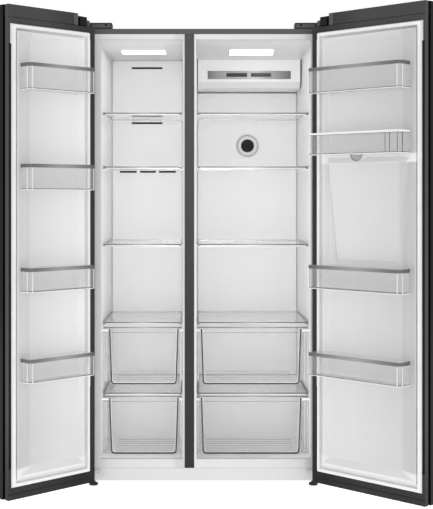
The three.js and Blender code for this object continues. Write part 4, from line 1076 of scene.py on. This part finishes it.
def foot_details():
    """The kick plate's two screws."""
    x, y, z = box_of("kick_plate")
    screws = Piece("kick_plate_screws", "cabinet")
    for at in (x[0] + 0.05, x[1] - 0.05):
        screw(screws, (at, y[0], z[0] + 0.024), "Y", -1, 0.0042, 0.0010)
    screws.done(door_white)


dress_cabinet()
dress_fittings()
dress_doors()
dress_machinery()
door_details()
compartment_details()
hinge_details()
back_details()
foot_details()


# ---------------------------------------------------------------- floor, light and camera
def floor():
    mesh = bmesh.new()
    half = 6.0
    steps = 4
    bmesh.ops.create_grid(mesh, x_segments=steps, y_segments=steps, size=half)
    data = bpy.data.meshes.new("floor")
    mesh.to_mesh(data)
    mesh.free()
    look = Look("floor_paper")
    paper = look.shades((0.92, 0.92, 0.92), 0.01, 1.5)
    look.colour(paper).rough(0.6, 0.75).glow(paper, FLOOR_GLOW)
    data.materials.append(look.relief(look.noise(220.0), 0.0001, 0.1).material)
    made = bpy.data.objects.new("floor", data)
    bpy.context.scene.collection.objects.link(made)


def soft_light(name, place, aim, size, energy, spread):
    data = bpy.data.lights.new(name, "AREA")
    data.shape = "RECTANGLE"
    data.size, data.size_y = size
    data.energy = energy
    data.spread = math.radians(spread)
    made = bpy.data.objects.new(name, data)
    made.location = place
    made.rotation_euler = (Vector(aim) - Vector(place)).to_track_quat("-Z", "Y").to_euler()
    bpy.context.scene.collection.objects.link(made)


def studio():
    world = bpy.data.worlds.new("studio")
    world.use_nodes = True
    background = world.node_tree.nodes["Background"]
    background.inputs["Color"].default_value = (1.0, 1.0, 1.0, 1.0)
    background.inputs["Strength"].default_value = WORLD
    bpy.context.scene.world = world
    middle = sum(CASING[0]) / 2
    place = (middle, CASING[1][0] - BEAM["ahead"], BEAM["height"])
    soft_light("beam", place, (middle, 0.0, BEAM["height"]), BEAM["size"], BEAM["power"], BEAM["spread"])
    for name, (start, end, power) in INNER_LIGHTS.items():
        x = box_of(f"{name}_shelf_1")[0]
        z = box_of(f"{name}_liner")[2]
        size = ((end - start) * (x[1] - x[0]), z[1] - z[0] - 0.06)
        place = (x[0] + (start + end) / 2 * (x[1] - x[0]), CASING[1][0] + 0.012, sum(z) / 2)
        soft_light(f"{name}_light", place, (place[0], 1.0, place[2]), size, power * size[0] * size[1], 180.0)
    bpy.context.scene.view_settings.view_transform = "Standard"
    bpy.context.scene.cycles.transparent_max_bounces = 40
    bpy.context.scene.cycles.max_bounces = 16
    bpy.context.scene.cycles.diffuse_bounces = 6


def camera():
    data = bpy.data.cameras.new("camera")
    data.lens = CAMERA_LENS
    data.shift_x, data.shift_y = CAMERA_SHIFT
    made = bpy.data.objects.new("camera", data)
    made.location = (sum(CASING[0]) / 2 + CAMERA_ASIDE, CASING[1][0] - CAMERA_DISTANCE, CAMERA_HEIGHT)
    made.rotation_euler = (math.radians(90), 0, 0)
    bpy.context.scene.collection.objects.link(made)
    bpy.context.scene.camera = made


floor()
studio()
camera()
